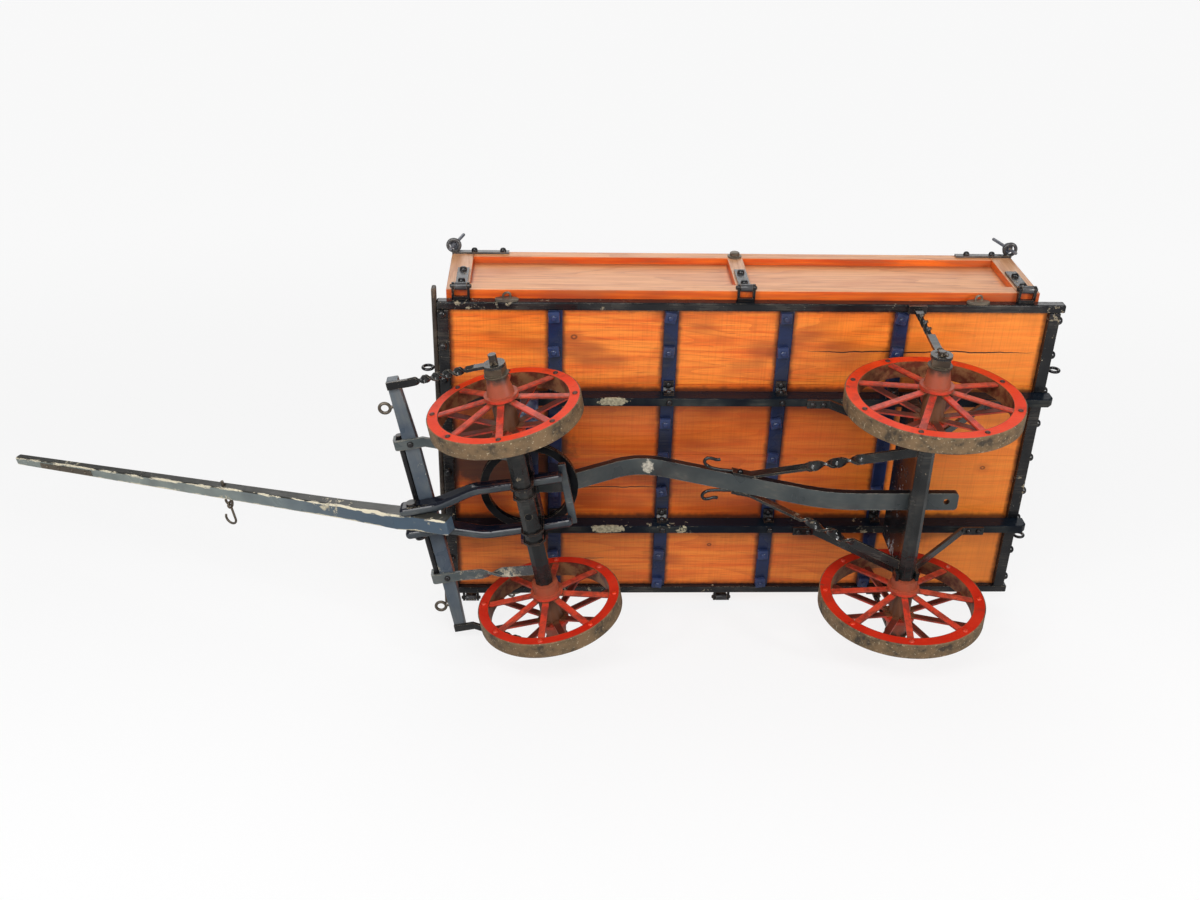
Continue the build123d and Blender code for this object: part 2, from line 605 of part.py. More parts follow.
# Rear stays: eyed on the axle arms, twisted half round, footed under the side rails
stay_foot_z = BED_HEIGHT - FIT - STAY_IRON
with BuildPart() as rear_stays:
    for side in (1, -1):
        eye_y = side * nut_stack(REAR_TRACK)[2]
        stay_y = eye_y + side * STAY_IRON / 2
        foot_y = side * (BED_WIDTH - SIDE_RAIL_WIDTH) / 2
        low_z = rear_axle_z + (AXLE_ARM_RADIUS + STAY_EYE_RADIUS) / 2
        stay_eye(rear_axle_x, eye_y, rear_axle_z, side)
        root = (rear_axle_x, stay_y, low_z)
        bend = (rear_axle_x, stay_y, low_z + (stay_foot_z - low_z) * REAR_STAY_STRAIGHT)
        top = (rear_axle_x, foot_y, stay_foot_z)
        steps = round(REAR_STAY_TURN / TWIST_STEP)
        run = REAR_STAY_TWIST[1] - REAR_STAY_TWIST[0]
        stations = [(root, 0), (bend, 0)]
        for step in range(steps + 1):
            point = part_way(bend, top, REAR_STAY_TWIST[0] + run * step / steps)
            stations.append((point, TWIST_STEP * step))
        stations.append((top, REAR_STAY_TURN))
        for point, turn in stations:
            angle = radians(turn)
            with BuildSketch(Plane(point, x_dir=(cos(angle), sin(angle), 0), z_dir=(0, 0, 1))):
                Rectangle(STAY_WIDTH, STAY_IRON)
        loft(ruled=True)
        with Locations((rear_axle_x, foot_y, stay_foot_z)):
            Box(STAY_FOOT, SIDE_RAIL_WIDTH, STAY_IRON, align=(Align.CENTER, Align.CENTER, Align.MIN))
finish(rear_stays, "rear_stays")

# Tie eyes: wire rings on the front bar and the rear rail for ropes
with BuildPart() as tie_eyes:
    for end, bar in ((1, FRONT_BAR_THICKNESS + FIT), (-1, 0)):
        ring_x = BED_LENGTH / 2 + bar + FIT + TIE_WIRE_RADIUS + TIE_EYE_RADIUS
        for side in (1, -1):
            with Locations((bed_x + end * ring_x, side * TIE_EYE_SPACING / 2, BED_HEIGHT + RAIL_HEIGHT / 2)):
                Torus(TIE_EYE_RADIUS, TIE_WIRE_RADIUS, rotation=(90, 0, 0))
finish(tie_eyes, "tie_eyes")

# Hinge lugs: a webbed pair on the side rail at each hinge with the pin between them, local y outwards
LEFT = Location((side_x, BED_WIDTH / 2, bed_top))
RIGHT = Location((side_x, -BED_WIDTH / 2, bed_top), (0, 0, 180))
hinge_y = BOARD_OUTSET + HINGE_EYE_RADIUS + SWING
hinge_end = side_run / 2 - SIDE_HINGE_MARGIN
hinge_xs = (-hinge_end, 0, hinge_end)
lug_x = HINGE_WIDTH / 2 + SWING
for frame, name in ((LEFT, "left_hinge_lugs"), (RIGHT, "right_hinge_lugs")):
    with BuildPart() as hinge_lugs:
        for x in hinge_xs:
            for start in (x + lug_x, x - lug_x - HINGE_LUG_LENGTH):
                with BuildSketch(Plane.YZ.offset(start)):
                    with Locations((hinge_y, -HINGE_DROP)):
                        Circle(HINGE_EYE_RADIUS)
                        Rectangle(hinge_y - FIT, HINGE_EYE_RADIUS, align=(Align.MAX, Align.MAX))
                extrude(amount=HINGE_LUG_LENGTH)
            with BuildSketch(Plane.YZ.offset(x - lug_x)):
                with Locations((hinge_y, -HINGE_DROP)):
                    Circle(HINGE_PIN_RADIUS)
                with Locations((FIT, -HINGE_DROP)):
                    Rectangle(BOARD_OUTSET - SWING - FIT, HINGE_EYE_RADIUS, align=(Align.MIN, Align.MAX))
            extrude(amount=2 * lug_x)
    finish(hinge_lugs, name, frame)


def frame_sticks(run, thickness, middles):
    """Stiles and rails of a framed board standing on z = 0, outer face on y = 0."""
    low = (Align.CENTER, Align.MAX, Align.MIN)
    high = (Align.CENTER, Align.MAX, Align.MAX)
    with Locations((run / 2 - END_STILE_WIDTH / 2, 0, SWING), (END_STILE_WIDTH / 2 - run / 2, 0, SWING)):
        Box(END_STILE_WIDTH, thickness, BOARD_HEIGHT - SWING, align=low)
    rail_run = run - 2 * END_STILE_WIDTH - 2 * FIT
    window = BOARD_HEIGHT - BOTTOM_RAIL_DEPTH - TOP_RAIL_DEPTH - 2 * FIT
    with Locations((0, 0, SWING)):
        Box(rail_run, thickness, BOTTOM_RAIL_DEPTH - SWING, align=low)
    with Locations((0, 0, BOARD_HEIGHT)):
        Box(rail_run, thickness, TOP_RAIL_DEPTH, align=high)
    for x in middles:
        with Locations((x, 0, BOTTOM_RAIL_DEPTH + FIT)):
            Box(MID_STILE_WIDTH, thickness, window, align=low)


def frame_panels(run, recess, count):
    """Panels that fill the windows of a framed board, set back from its outer face."""
    window = (run - 2 * END_STILE_WIDTH - (count - 1) * MID_STILE_WIDTH) / count
    with Locations((0, -recess, BOTTOM_RAIL_DEPTH + FIT)):
        with GridLocations(window + MID_STILE_WIDTH, 0, count, 1):
            Box(window - 2 * FIT, PANEL_THICKNESS,
                BOARD_HEIGHT - BOTTOM_RAIL_DEPTH - TOP_RAIL_DEPTH - 2 * FIT,
                align=(Align.CENTER, Align.MAX, Align.MIN))


# Headboard and tailboard: framed boards standing in the floor's rebates, between the side rails
end_run = inner_width - 2 * SWING
for turn, end, name in ((-90, 1, "headboard"), (90, -1, "tailboard")):
    with BuildPart() as end_board:
        frame_sticks(end_run, END_BOARD_THICKNESS, ())
        frame_panels(end_run, END_PANEL_RECESS, 1)
    finish(end_board, name, Location((side_x + end * end_board_x, 0, bed_top - END_REBATE), (0, 0, turn)))

# Drop sides: framed boards with two panels each, hinge straps and latch straps on their outer faces
ring_x = side_run / 2 - LATCH_RING_INSET
ring_y = BOARD_OUTSET + SWING + LATCH_RING_RADIUS + LATCH_WIRE_RADIUS
ring_z = BOARD_HEIGHT - LATCH_FROM_TOP
face_y = BOARD_OUTSET + FIT
for frame, side_name in ((LEFT, "left"), (RIGHT, "right")):
    board = frame * Location((0, BOARD_OUTSET, 0))
    with BuildPart() as side_frame:
        frame_sticks(side_run, BOARD_THICKNESS, (0,))
    finish(side_frame, f"{side_name}_side_frame", board)
    with BuildPart() as side_panels:
        frame_panels(side_run, PANEL_RECESS, 2)
    finish(side_panels, f"{side_name}_side_panels", board)
    with BuildPart() as side_irons:
        for x in hinge_xs:
            with Locations((x, face_y, SWING)):
                Box(HINGE_WIDTH, HINGE_IRON, HINGE_REACH, align=(Align.CENTER, Align.MIN, Align.MIN))
            with BuildSketch(Plane.YZ.offset(x - HINGE_WIDTH / 2)):
                with Locations((hinge_y, -HINGE_DROP)):
                    Circle(HINGE_EYE_RADIUS)
            extrude(amount=HINGE_WIDTH)
            with BuildSketch(Plane.YZ.offset(x - HINGE_WIDTH / 2)):
                with Locations((hinge_y, -HINGE_DROP)):
                    Circle(HINGE_PIN_RADIUS + RUNNING)
            extrude(amount=HINGE_WIDTH, mode=Mode.SUBTRACT)
        for end in (1, -1):
            with Locations((end * (side_run - LATCH_STRAP_LENGTH) / 2, face_y, ring_z)):
                Box(LATCH_STRAP_LENGTH, LATCH_STRAP_IRON, LATCH_STRAP_WIDTH,
                    align=(Align.CENTER, Align.MIN, Align.CENTER))
            with Locations((end * ring_x, ring_y, ring_z)):
                Torus(LATCH_RING_RADIUS, LATCH_WIRE_RADIUS)
    finish(side_irons, f"{side_name}_side_irons", frame)

# Latch pins: loose collared pins standing in the rings, leaning towards the middle of the side
collar_z = LATCH_WIRE_RADIUS + LATCH_COLLAR_RADIUS * sin(radians(LATCH_PIN_LEAN)) + SWING
for frame, side_name, front in ((LEFT, "left", 1), (RIGHT, "right", -1)):
    for end, end_name in ((front, "front"), (-front, "rear")):
        with BuildPart() as latch_pin:
            with Locations((0, 0, -LATCH_PIN_BELOW)):
                Cylinder(LATCH_PIN_RADIUS, LATCH_PIN_LENGTH, align=(Align.CENTER, Align.CENTER, Align.MIN))
            with Locations((0, 0, collar_z)):
                Cylinder(LATCH_COLLAR_RADIUS, LATCH_COLLAR_HEIGHT,
                         align=(Align.CENTER, Align.CENTER, Align.MIN))
        stand = Location((end * ring_x, ring_y, ring_z), (0, -end * LATCH_PIN_LEAN, 0))
        finish(latch_pin, f"{side_name}_{end_name}_latch_pin", frame * stand)

# Futchells: two cranked bars on the front axle that take the pole between their noses
nose_y = POLE_WIDTH / 2 + SWING + FUTCHELL_WIDTH / 2
nose_x = POLE_PIVOT_FROM_KINGPIN + FUTCHELL_NOSE
nose_bottom = splinter_bottom - FUTCHELL_FRONT_DEPTH
for side, name in ((1, "left_futchell"), (-1, "right_futchell")):
    with BuildPart() as futchell:
        with BuildSketch(Plane.XY.offset(nose_bottom - FUTCHELL_DEPTH)) as plan:
            with BuildLine():
                FilletPolyline((-FUTCHELL_TAIL, side * FUTCHELL_SPREAD / 2),
                               (FUTCHELL_CRANK_START, side * FUTCHELL_SPREAD / 2),
                               (FUTCHELL_CRANK_END, side * nose_y), (nose_x, side * nose_y),
                               radius=FUTCHELL_BEND)
            trace(line_width=FUTCHELL_WIDTH)
            fillet(plan.vertices().group_by(Axis.X)[-1], FUTCHELL_ROUND)
        extrude(amount=splinter_bottom - nose_bottom + FUTCHELL_DEPTH)
        with BuildSketch(Plane.XZ):
            with BuildLine():
                Polyline((-FUTCHELL_TAIL, front_axle_top), (FUTCHELL_SEAT, front_axle_top),
                         (FUTCHELL_CRANK_END, nose_bottom), (nose_x, nose_bottom),
                         (nose_x, splinter_bottom), (FUTCHELL_CRANK_END, splinter_bottom),
                         (FUTCHELL_SEAT, futchell_top), (-FUTCHELL_TAIL, futchell_top), close=True)
            make_face()
        extrude(amount=FUTCHELL_SPREAD, both=True, mode=Mode.INTERSECT)
        with BuildSketch(Plane.XZ):
            with Locations((POLE_PIVOT_FROM_KINGPIN, pivot_z)):
                Circle(POLE_PIN_RADIUS + RUNNING)
        extrude(amount=FUTCHELL_SPREAD, both=True, mode=Mode.SUBTRACT)
    finish(futchell, name, FORE)

# Lower bolster: the block between the futchells and the lower ring, bored for the kingpin
lower_bolster_height = lower_bolster_top - futchell_top - FIT
with BuildPart() as lower_bolster:
    with Locations((0, 0, futchell_top + FIT)):
        Box(BOLSTER_THICKNESS, LOWER_BOLSTER_LENGTH, lower_bolster_height,
            align=(Align.CENTER, Align.CENTER, Align.MIN))
        Cylinder(KINGPIN_RADIUS + RUNNING, lower_bolster_top - futchell_top,
                 align=(Align.CENTER, Align.CENTER, Align.MIN), mode=Mode.SUBTRACT)
    chamfer(lower_bolster.edges().filter_by(Axis.X).group_by(Axis.Z)[0],
            lower_bolster_height * BOLSTER_BEVEL)
finish(lower_bolster, "lower_bolster", FORE)

# Sway bar: a flat bar across the tails of the futchells
with BuildPart() as sway_bar:
    with Locations((-FUTCHELL_TAIL, 0, futchell_top + FIT)):
        Box(SWAY_WIDTH, FUTCHELL_SPREAD + 2 * FUTCHELL_WIDTH, SWAY_THICKNESS,
            align=(Align.CENTER, Align.CENTER, Align.MIN))
finish(sway_bar, "sway_bar", FORE)

# Axle clips: U-bolts over each futchell before and behind the axle, joined by bands round its underside
leg_x = BOLSTER_THICKNESS / 2 + FIT + CLIP_IRON / 2
leg_y = FUTCHELL_WIDTH / 2 + FIT + CLIP_IRON / 2
clip_top = futchell_top + FIT + CLIP_IRON / 2
band_low = front_axle_z - AXLE_BEAM / 2 - FIT - CLIP_IRON / 2
band_waist = front_axle_z - AXLE_BEAM / 2 + AXLE_EDGE
band_flat = AXLE_BEAM / 2 - AXLE_EDGE + CLIP_IRON / 2
with BuildPart() as axle_clips:
    for side in (1, -1):
        clip_y = side * FUTCHELL_SPREAD / 2
        for band_y in (clip_y - leg_y, clip_y + leg_y):
            with BuildSketch(Plane.XZ.offset(-band_y)):
                with BuildLine():
                    FilletPolyline((leg_x, front_axle_z), (leg_x, band_waist), (band_flat, band_low),
                                   (-band_flat, band_low), (-leg_x, band_waist), (-leg_x, front_axle_z),
                                   radius=CLIP_BEND)
                trace(line_width=CLIP_IRON)
            extrude(amount=CLIP_IRON / 2, both=True)
        for x in (leg_x, -leg_x):
            with BuildSketch(Plane.YZ.offset(x)):
                with BuildLine():
                    FilletPolyline((clip_y - leg_y, band_waist), (clip_y - leg_y, clip_top),
                                   (clip_y + leg_y, clip_top), (clip_y + leg_y, band_waist),
                                   radius=CLIP_BEND)
                trace(line_width=CLIP_IRON)
            extrude(amount=CLIP_IRON / 2, both=True)
finish(axle_clips, "axle_clips", FORE)

# Splinter bar: the cross bar over the futchell noses, thinned at the back towards its ends
bar_front = SPLINTER_FROM_KINGPIN + SPLINTER_WIDTH / 2
bar_back = SPLINTER_FROM_KINGPIN - SPLINTER_WIDTH / 2
with BuildPart() as splinter_bar:
    with BuildSketch(Plane.XY.offset(splinter_bottom + FIT)):
        with BuildLine():
            Polyline((bar_front, SPLINTER_LENGTH / 2), (bar_front, -SPLINTER_LENGTH / 2),
                     (bar_back + SPLINTER_TAPER, -SPLINTER_LENGTH / 2), (bar_back, -SPLINTER_STRAIGHT / 2),
                     (bar_back, SPLINTER_STRAIGHT / 2), (bar_back + SPLINTER_TAPER, SPLINTER_LENGTH / 2),
                     close=True)
        make_face()
    extrude(amount=SPLINTER_HEIGHT)
finish(splinter_bar, "splinter_bar", FORE)

# Trace eyes: screw eyes in the front face of the splinter bar
eye_z = splinter_bottom + FIT + SPLINTER_HEIGHT / 2
with BuildPart() as trace_eyes:
    for side in (1, -1):
        with Locations((bar_front + TRACE_SHANK + TRACE_EYE_RADIUS, side * TRACE_EYE_SPACING / 2, eye_z)):
            Torus(TRACE_EYE_RADIUS, TRACE_WIRE_RADIUS)
        with BuildSketch(Plane.YZ.offset(bar_front + FIT)):
            with Locations((side * TRACE_EYE_SPACING / 2, eye_z)):
                Circle(TRACE_WIRE_RADIUS)
        extrude(amount=TRACE_SHANK - FIT)
finish(trace_eyes, "trace_eyes", FORE)

# Splinter rod: a round rod along the front of the splinter bar, held by the straps
rod_x = bar_front + FIT + ROD_RADIUS
rod_z = splinter_bottom + ROD_RISE
with BuildPart() as splinter_rod:
    with BuildSketch(Plane.XZ):
        with Locations((rod_x, rod_z)):
            Circle(ROD_RADIUS)
    extrude(amount=ROD_LENGTH / 2, both=True)
finish(splinter_rod, "splinter_rod", FORE)

# Splinter straps: hooked up round the rod, flat under the bar, twisted and run back to the axle
tab_z = splinter_bottom - STRAP_IRON / 2
tab_back = bar_back - TAB_LENGTH
hook_x = rod_x + ROD_RADIUS + FIT + STRAP_IRON / 2
axle_face = AXLE_BEAM / 2 + FIT
with BuildPart() as splinter_straps:
    for side in (1, -1):
        strap_y = side * STRAP_SPACING / 2
        with BuildSketch(Plane.XZ.offset(-strap_y)):
            with BuildLine():
                FilletPolyline((tab_back, tab_z), (hook_x, tab_z),
                               (hook_x, splinter_bottom + SPLINTER_HEIGHT), radius=TAB_BEND)
            trace(line_width=STRAP_IRON)
        extrude(amount=STRAP_WIDTH / 2, both=True)
        start = (tab_back, strap_y, tab_z)
        landing = (axle_face, side * STRAP_AXLE_SPACING / 2, front_axle_z)
        planes = [across(tab_back + FIT, strap_y, tab_z, 0)]
        planes += twist_stations(start, landing, STRAP_TWIST, 0, side * STRAP_TURN)
        planes.append(across(*landing, side * STRAP_TURN))
        for plane in planes:
            with BuildSketch(plane):
                Rectangle(STRAP_WIDTH, STRAP_IRON)
        loft(ruled=True)
finish(splinter_straps, "splinter_straps", FORE)

# Front stays: eyed on the axle arms, twisted, and run forward to the ends of the splinter bar
with BuildPart() as front_stays:
    for side in (1, -1):
        eye_y = side * nut_stack(FRONT_TRACK)[2]
        stay_y = eye_y + side * STAY_IRON / 2
        end_y = side * (SPLINTER_LENGTH - STAY_WIDTH) / 2
        end_z = splinter_bottom - STAY_IRON / 2
        eye_x = (AXLE_ARM_RADIUS + STAY_EYE_RADIUS) / 2
        stay_eye(0, eye_y, front_axle_z, side)
        start = (eye_x + STAY_EYE_RADIUS, stay_y, front_axle_z)
        landing = (tab_back, end_y, end_z)
        flat = 90 + side * FRONT_STAY_TURN
        planes = [across(eye_x, stay_y, front_axle_z, 90), across(*start, 90)]
        planes += twist_stations(start, landing, FRONT_STAY_TWIST, 90, side * FRONT_STAY_TURN)
        planes += [across(*landing, flat), across(bar_front, end_y, end_z, flat)]
        for plane in planes:
            with BuildSketch(plane):
                Rectangle(STAY_WIDTH, STAY_IRON)
        loft(ruled=True)
finish(front_stays, "front_stays", FORE)

# Pole pin: headed pin through both futchell noses and the root of the pole
pin_half = nose_y + FUTCHELL_WIDTH / 2 + FIT
with BuildPart() as pole_pin:
    with BuildSketch(Plane.XZ):
        with Locations((POLE_PIVOT_FROM_KINGPIN, pivot_z)):
            Circle(POLE_PIN_RADIUS)
    extrude(amount=pin_half, both=True)
    for side in (1, -1):
        with BuildSketch(Plane.XZ.offset(-side * pin_half)):
            with Locations((POLE_PIVOT_FROM_KINGPIN, pivot_z)):
                Circle(POLE_PIN_HEAD_RADIUS)
        extrude(amount=-side * POLE_PIN_HEAD)
finish(pole_pin, "pole_pin", FORE)

# Pole: deep at the neck, thin at the tail between the futchells, tapered to the tip
with BuildPart() as pole:
    with BuildSketch(Plane.XZ):
        with BuildLine():
            Polyline((-POLE_TAIL, POLE_TAIL_DEPTH / 2), (0, POLE_TAIL_DEPTH / 2),
                     (POLE_NECK, POLE_NECK_DEPTH / 2), (POLE_SHANK, POLE_SHANK_DEPTH / 2),
                     (POLE_LENGTH, POLE_TIP_DEPTH / 2), (POLE_LENGTH, -POLE_TIP_DEPTH / 2),
                     (POLE_SHANK, -POLE_SHANK_DEPTH / 2), (POLE_NECK, -POLE_NECK_DEPTH / 2),
                     (0, -POLE_TAIL_DEPTH / 2),
                     (-POLE_TAIL, -POLE_TAIL_DEPTH / 2), close=True)
        make_face()
    extrude(amount=POLE_WIDTH, both=True)
    with BuildSketch(Plane.XY.offset(-POLE_NECK_DEPTH)):
        with BuildLine():
            Polyline((-POLE_TAIL, POLE_WIDTH / 2), (POLE_SHANK, POLE_WIDTH / 2),
                     (POLE_LENGTH, POLE_TIP_WIDTH / 2), (POLE_LENGTH, -POLE_TIP_WIDTH / 2),
                     (POLE_SHANK, -POLE_WIDTH / 2), (-POLE_TAIL, -POLE_WIDTH / 2), close=True)
        make_face()
    extrude(amount=2 * POLE_NECK_DEPTH, mode=Mode.INTERSECT)
    with BuildSketch(Plane.XZ):
        Circle(POLE_PIN_RADIUS + RUNNING)
        with Locations((HOOK_FROM_PIVOT, 0)):
            Circle(HOOK_BOLT_RADIUS + RUNNING)
    extrude(amount=POLE_WIDTH, both=True, mode=Mode.SUBTRACT)
finish(pole, "pole", POLE)

# Pole irons: the wearing plate under the tip, and the eye bolt through the middle for the hook
tip_slope = (POLE_SHANK_DEPTH - POLE_TIP_DEPTH) / 2 / (POLE_LENGTH - POLE_SHANK)
side_slope = (POLE_WIDTH - POLE_TIP_WIDTH) / 2 / (POLE_LENGTH - POLE_SHANK)
plate_end = POLE_PLATE_START + POLE_PLATE_LENGTH
plate_low = -POLE_SHANK_DEPTH / 2 + tip_slope * (POLE_PLATE_START - POLE_SHANK) - FIT
plate_high = plate_low + tip_slope * POLE_PLATE_LENGTH
hook_side = POLE_WIDTH / 2 - side_slope * (HOOK_FROM_PIVOT - POLE_SHANK)
hook_eye_y = -hook_side - SWING - HOOK_EYE_WIRE - HOOK_EYE_RADIUS
with BuildPart() as pole_irons:
    with BuildSketch(Plane.XZ):
        with BuildLine():
            Polyline((POLE_PLATE_START, plate_low), (plate_end, plate_high),
                     (plate_end, plate_high - POLE_PLATE_IRON),
                     (POLE_PLATE_START, plate_low - POLE_PLATE_IRON), close=True)
        make_face()
    extrude(amount=POLE_PLATE_WIDTH / 2, both=True)
    with BuildSketch(Plane.XZ.offset(-hook_side - HOOK_BOLT_STUB)):
        with Locations((HOOK_FROM_PIVOT, 0)):
            Circle(HOOK_BOLT_RADIUS)
    extrude(amount=2 * hook_side + HOOK_BOLT_STUB + SWING + HOOK_EYE_WIRE)
    with Locations((HOOK_FROM_PIVOT, hook_eye_y, 0)):
        Torus(HOOK_EYE_RADIUS, HOOK_EYE_WIRE)
finish(pole_irons, "pole_irons", POLE)

# Pole hook: a wire hook linked through the eye bolt, swung out to the right as in the photograph
loop_y = hook_eye_y - HOOK_EYE_RADIUS
shank_y = loop_y - HOOK_LOOP_RADIUS
bowl_y = shank_y - HOOK_SHANK
with BuildPart() as pole_hook:
    with Locations(Location((HOOK_FROM_PIVOT, loop_y, 0), (0, 90, 0))):
        Torus(HOOK_LOOP_RADIUS, HOOK_WIRE_RADIUS)
    with BuildLine() as hook_line:
        Line((HOOK_FROM_PIVOT, shank_y, 0), (HOOK_FROM_PIVOT, bowl_y, 0))
        CenterArc((HOOK_FROM_PIVOT + HOOK_BOWL_RADIUS, bowl_y, 0), HOOK_BOWL_RADIUS, 180, HOOK_BOWL_SWEEP)
    with BuildSketch(Plane((HOOK_FROM_PIVOT, shank_y, 0), x_dir=(1, 0, 0), z_dir=(0, -1, 0))):
        Circle(HOOK_WIRE_RADIUS)
    sweep()
finish(pole_hook, "pole_hook", POLE)
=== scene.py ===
import json
import math
from functools import partial

import bmesh
import bpy
from mathutils import Euler, Matrix, Vector


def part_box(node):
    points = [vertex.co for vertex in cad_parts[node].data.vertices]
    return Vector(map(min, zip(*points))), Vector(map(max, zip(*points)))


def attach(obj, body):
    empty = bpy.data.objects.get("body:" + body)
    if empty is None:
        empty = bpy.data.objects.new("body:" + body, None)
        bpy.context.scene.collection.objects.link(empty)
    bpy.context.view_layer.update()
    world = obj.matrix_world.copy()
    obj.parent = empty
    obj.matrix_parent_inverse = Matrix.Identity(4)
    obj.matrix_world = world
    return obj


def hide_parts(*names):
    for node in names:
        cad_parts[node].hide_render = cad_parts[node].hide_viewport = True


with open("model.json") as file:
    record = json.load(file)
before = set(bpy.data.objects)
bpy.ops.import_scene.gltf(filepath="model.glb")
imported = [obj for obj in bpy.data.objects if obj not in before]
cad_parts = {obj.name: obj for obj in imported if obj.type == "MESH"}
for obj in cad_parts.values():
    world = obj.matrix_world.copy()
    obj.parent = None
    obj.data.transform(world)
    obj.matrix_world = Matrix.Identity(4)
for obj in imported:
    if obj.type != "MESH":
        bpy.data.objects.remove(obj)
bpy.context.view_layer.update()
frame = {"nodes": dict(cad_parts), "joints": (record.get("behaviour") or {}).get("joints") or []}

wagon = frame["nodes"]
bpy.ops.object.select_all(action='DESELECT')

# Camera: the photograph's own viewpoint, below the bed and out to the wagon's left, as found from the
# wheels and the corners of the bed. The picture is 1200 by 900, so the lens is set for its width.
MM = 0.001
EYE = Vector((-42.92, 528.44, -774.25)) * MM
LOOK_DOWN = math.radians(29.71)
LOOK_ASIDE = math.radians(2.30)
CAMERA_LEAN = math.radians(0.11)
LENS = 39.196
SENSOR = 36.0
NEAREST_SEEN = 10 * MM

level = Matrix(((-1, 0, 0), (0, -math.cos(LOOK_DOWN), -math.sin(LOOK_DOWN)),
                (0, -math.sin(LOOK_DOWN), math.cos(LOOK_DOWN))))
aside = Matrix.Rotation(-LOOK_ASIDE, 3, 'Y')
lean = Matrix.Rotation(CAMERA_LEAN, 3, 'Z')
to_right, to_floor, ahead = lean @ aside @ level
lens = bpy.data.cameras.new("photo_camera")
lens.lens = LENS
lens.sensor_fit = 'HORIZONTAL'
lens.sensor_width = SENSOR
lens.clip_start = NEAREST_SEEN
camera = bpy.data.objects.new("photo_camera", lens)
camera.matrix_world = Matrix.Translation(EYE) @ Matrix((to_right, -to_floor, -ahead)).transposed().to_4x4()
bpy.context.scene.collection.objects.link(camera)
bpy.context.scene.camera = camera
bpy.context.scene.view_settings.view_transform = 'Standard'

# Studio: two sheets of white paper and soft lights. One sheet is the ground under the standing wagon, the
# other the ground it lies on in the photograph, along its right hubs and hinges. Each shows its face only.
SHEET_SIZE = 400.0
PAPER_WHITE = (0.14, 0.14, 0.141, 1)
GLOW_NEAR = 0.83
GLOW_FAR = 0.885
GLOW_BOUNCED = 0.30
NEAR_WAGON = 0.3
FAR_FROM_WAGON = 2.2
LYING_POINT = Vector((0, -148.6, 148)) * MM
LYING_SLOPE = math.atan2(16.1, 91.5)
WAGON_MIDDLE = (-0.15, 0, 0.12)
LAMP_SIZE = 0.18
ROOM_LIGHT = 0.25
ROOM_SEEN = 0.965


def put(tree, kind, inputs=None, **settings):
    """Adds a node to a tree, with its settings and its inputs, which are links or plain values."""
    added = tree.nodes.new(kind)
    for setting, value in settings.items():
        setattr(added, setting, value)
    for socket, value in (inputs or {}).items():
        if isinstance(value, bpy.types.NodeSocket):
            tree.links.new(value, added.inputs[socket])
        else:
            added.inputs[socket].default_value = value
    return added


def eased(value, low, high, bottom=0.0, top=1.0):
    """A value brought smoothly from one range to another."""
    return put(value.id_data, 'ShaderNodeMapRange',
               {'Value': value, 'From Min': low, 'From Max': high, 'To Min': bottom, 'To Max': top},
               interpolation_type='SMOOTHSTEP').outputs[0]


def length_of(span):
    """The length of a vector."""
    return put(span.id_data, 'ShaderNodeVectorMath', {0: span}, operation='LENGTH').outputs['Value']


def strength_of(tree, bounced, seen):
    """One strength for the light that bounces and another for what the camera sees."""
    watched = put(tree, 'ShaderNodeLightPath').outputs['Is Camera Ray']
    return put(tree, 'ShaderNodeMapRange', {'Value': watched, 'To Min': bounced, 'To Max': seen}).outputs[0]


paper = bpy.data.materials.new("white_paper")
paper.use_nodes = True
tree = paper.node_tree
tree.nodes.clear()
matt = put(tree, 'ShaderNodeBsdfDiffuse', {'Color': PAPER_WHITE}).outputs[0]
from_wagon = length_of(put(tree, 'ShaderNodeTexCoord').outputs['Object'])
even = eased(from_wagon, NEAR_WAGON, FAR_FROM_WAGON, GLOW_NEAR, GLOW_FAR)
glow = put(tree, 'ShaderNodeEmission', {'Strength': strength_of(tree, GLOW_BOUNCED, even)}).outputs[0]
lit = put(tree, 'ShaderNodeAddShader', {0: matt, 1: glow}).outputs[0]
unseen = put(tree, 'ShaderNodeBsdfTransparent').outputs[0]
behind = put(tree, 'ShaderNodeNewGeometry').outputs['Backfacing']
one_sided = put(tree, 'ShaderNodeMixShader', {0: behind, 1: lit, 2: unseen}).outputs[0]
put(tree, 'ShaderNodeOutputMaterial', {'Surface': one_sided})


def paper_sheet(name, seat):
    """A flat sheet of paper whose face looks along the seat's Z."""
    bpy.ops.mesh.primitive_plane_add(size=SHEET_SIZE)
    sheet = bpy.context.object
    sheet.name = name
    sheet.data.transform(seat)
    sheet.data.materials.append(paper)
    sheet.visible_shadow = False
    sheet.select_set(False)
    return sheet


standing_ground = paper_sheet("standing_ground", Matrix.Identity(4))
standing_ground.visible_diffuse = False
standing_ground.visible_glossy = False
lying_turn = Matrix.Rotation(LYING_SLOPE - math.pi / 2, 4, 'X')
paper_sheet("lying_ground", Matrix.Translation(LYING_POINT) @ lying_turn)


def hung_light(name, kind, place, target, power, **settings):
    """A light at a place, in metres, that looks at a target."""
    lamp = bpy.data.lights.new(name, kind)
    lamp.energy = power
    for setting, value in settings.items():
        setattr(lamp, setting, value)
    light = bpy.data.objects.new(name, lamp)
    aim = (Vector(target) - Vector(place)).to_track_quat('-Z', 'Y').to_matrix().to_4x4()
    light.matrix_world = Matrix.Translation(place) @ aim
    light.visible_camera = False
    bpy.context.scene.collection.objects.link(light)


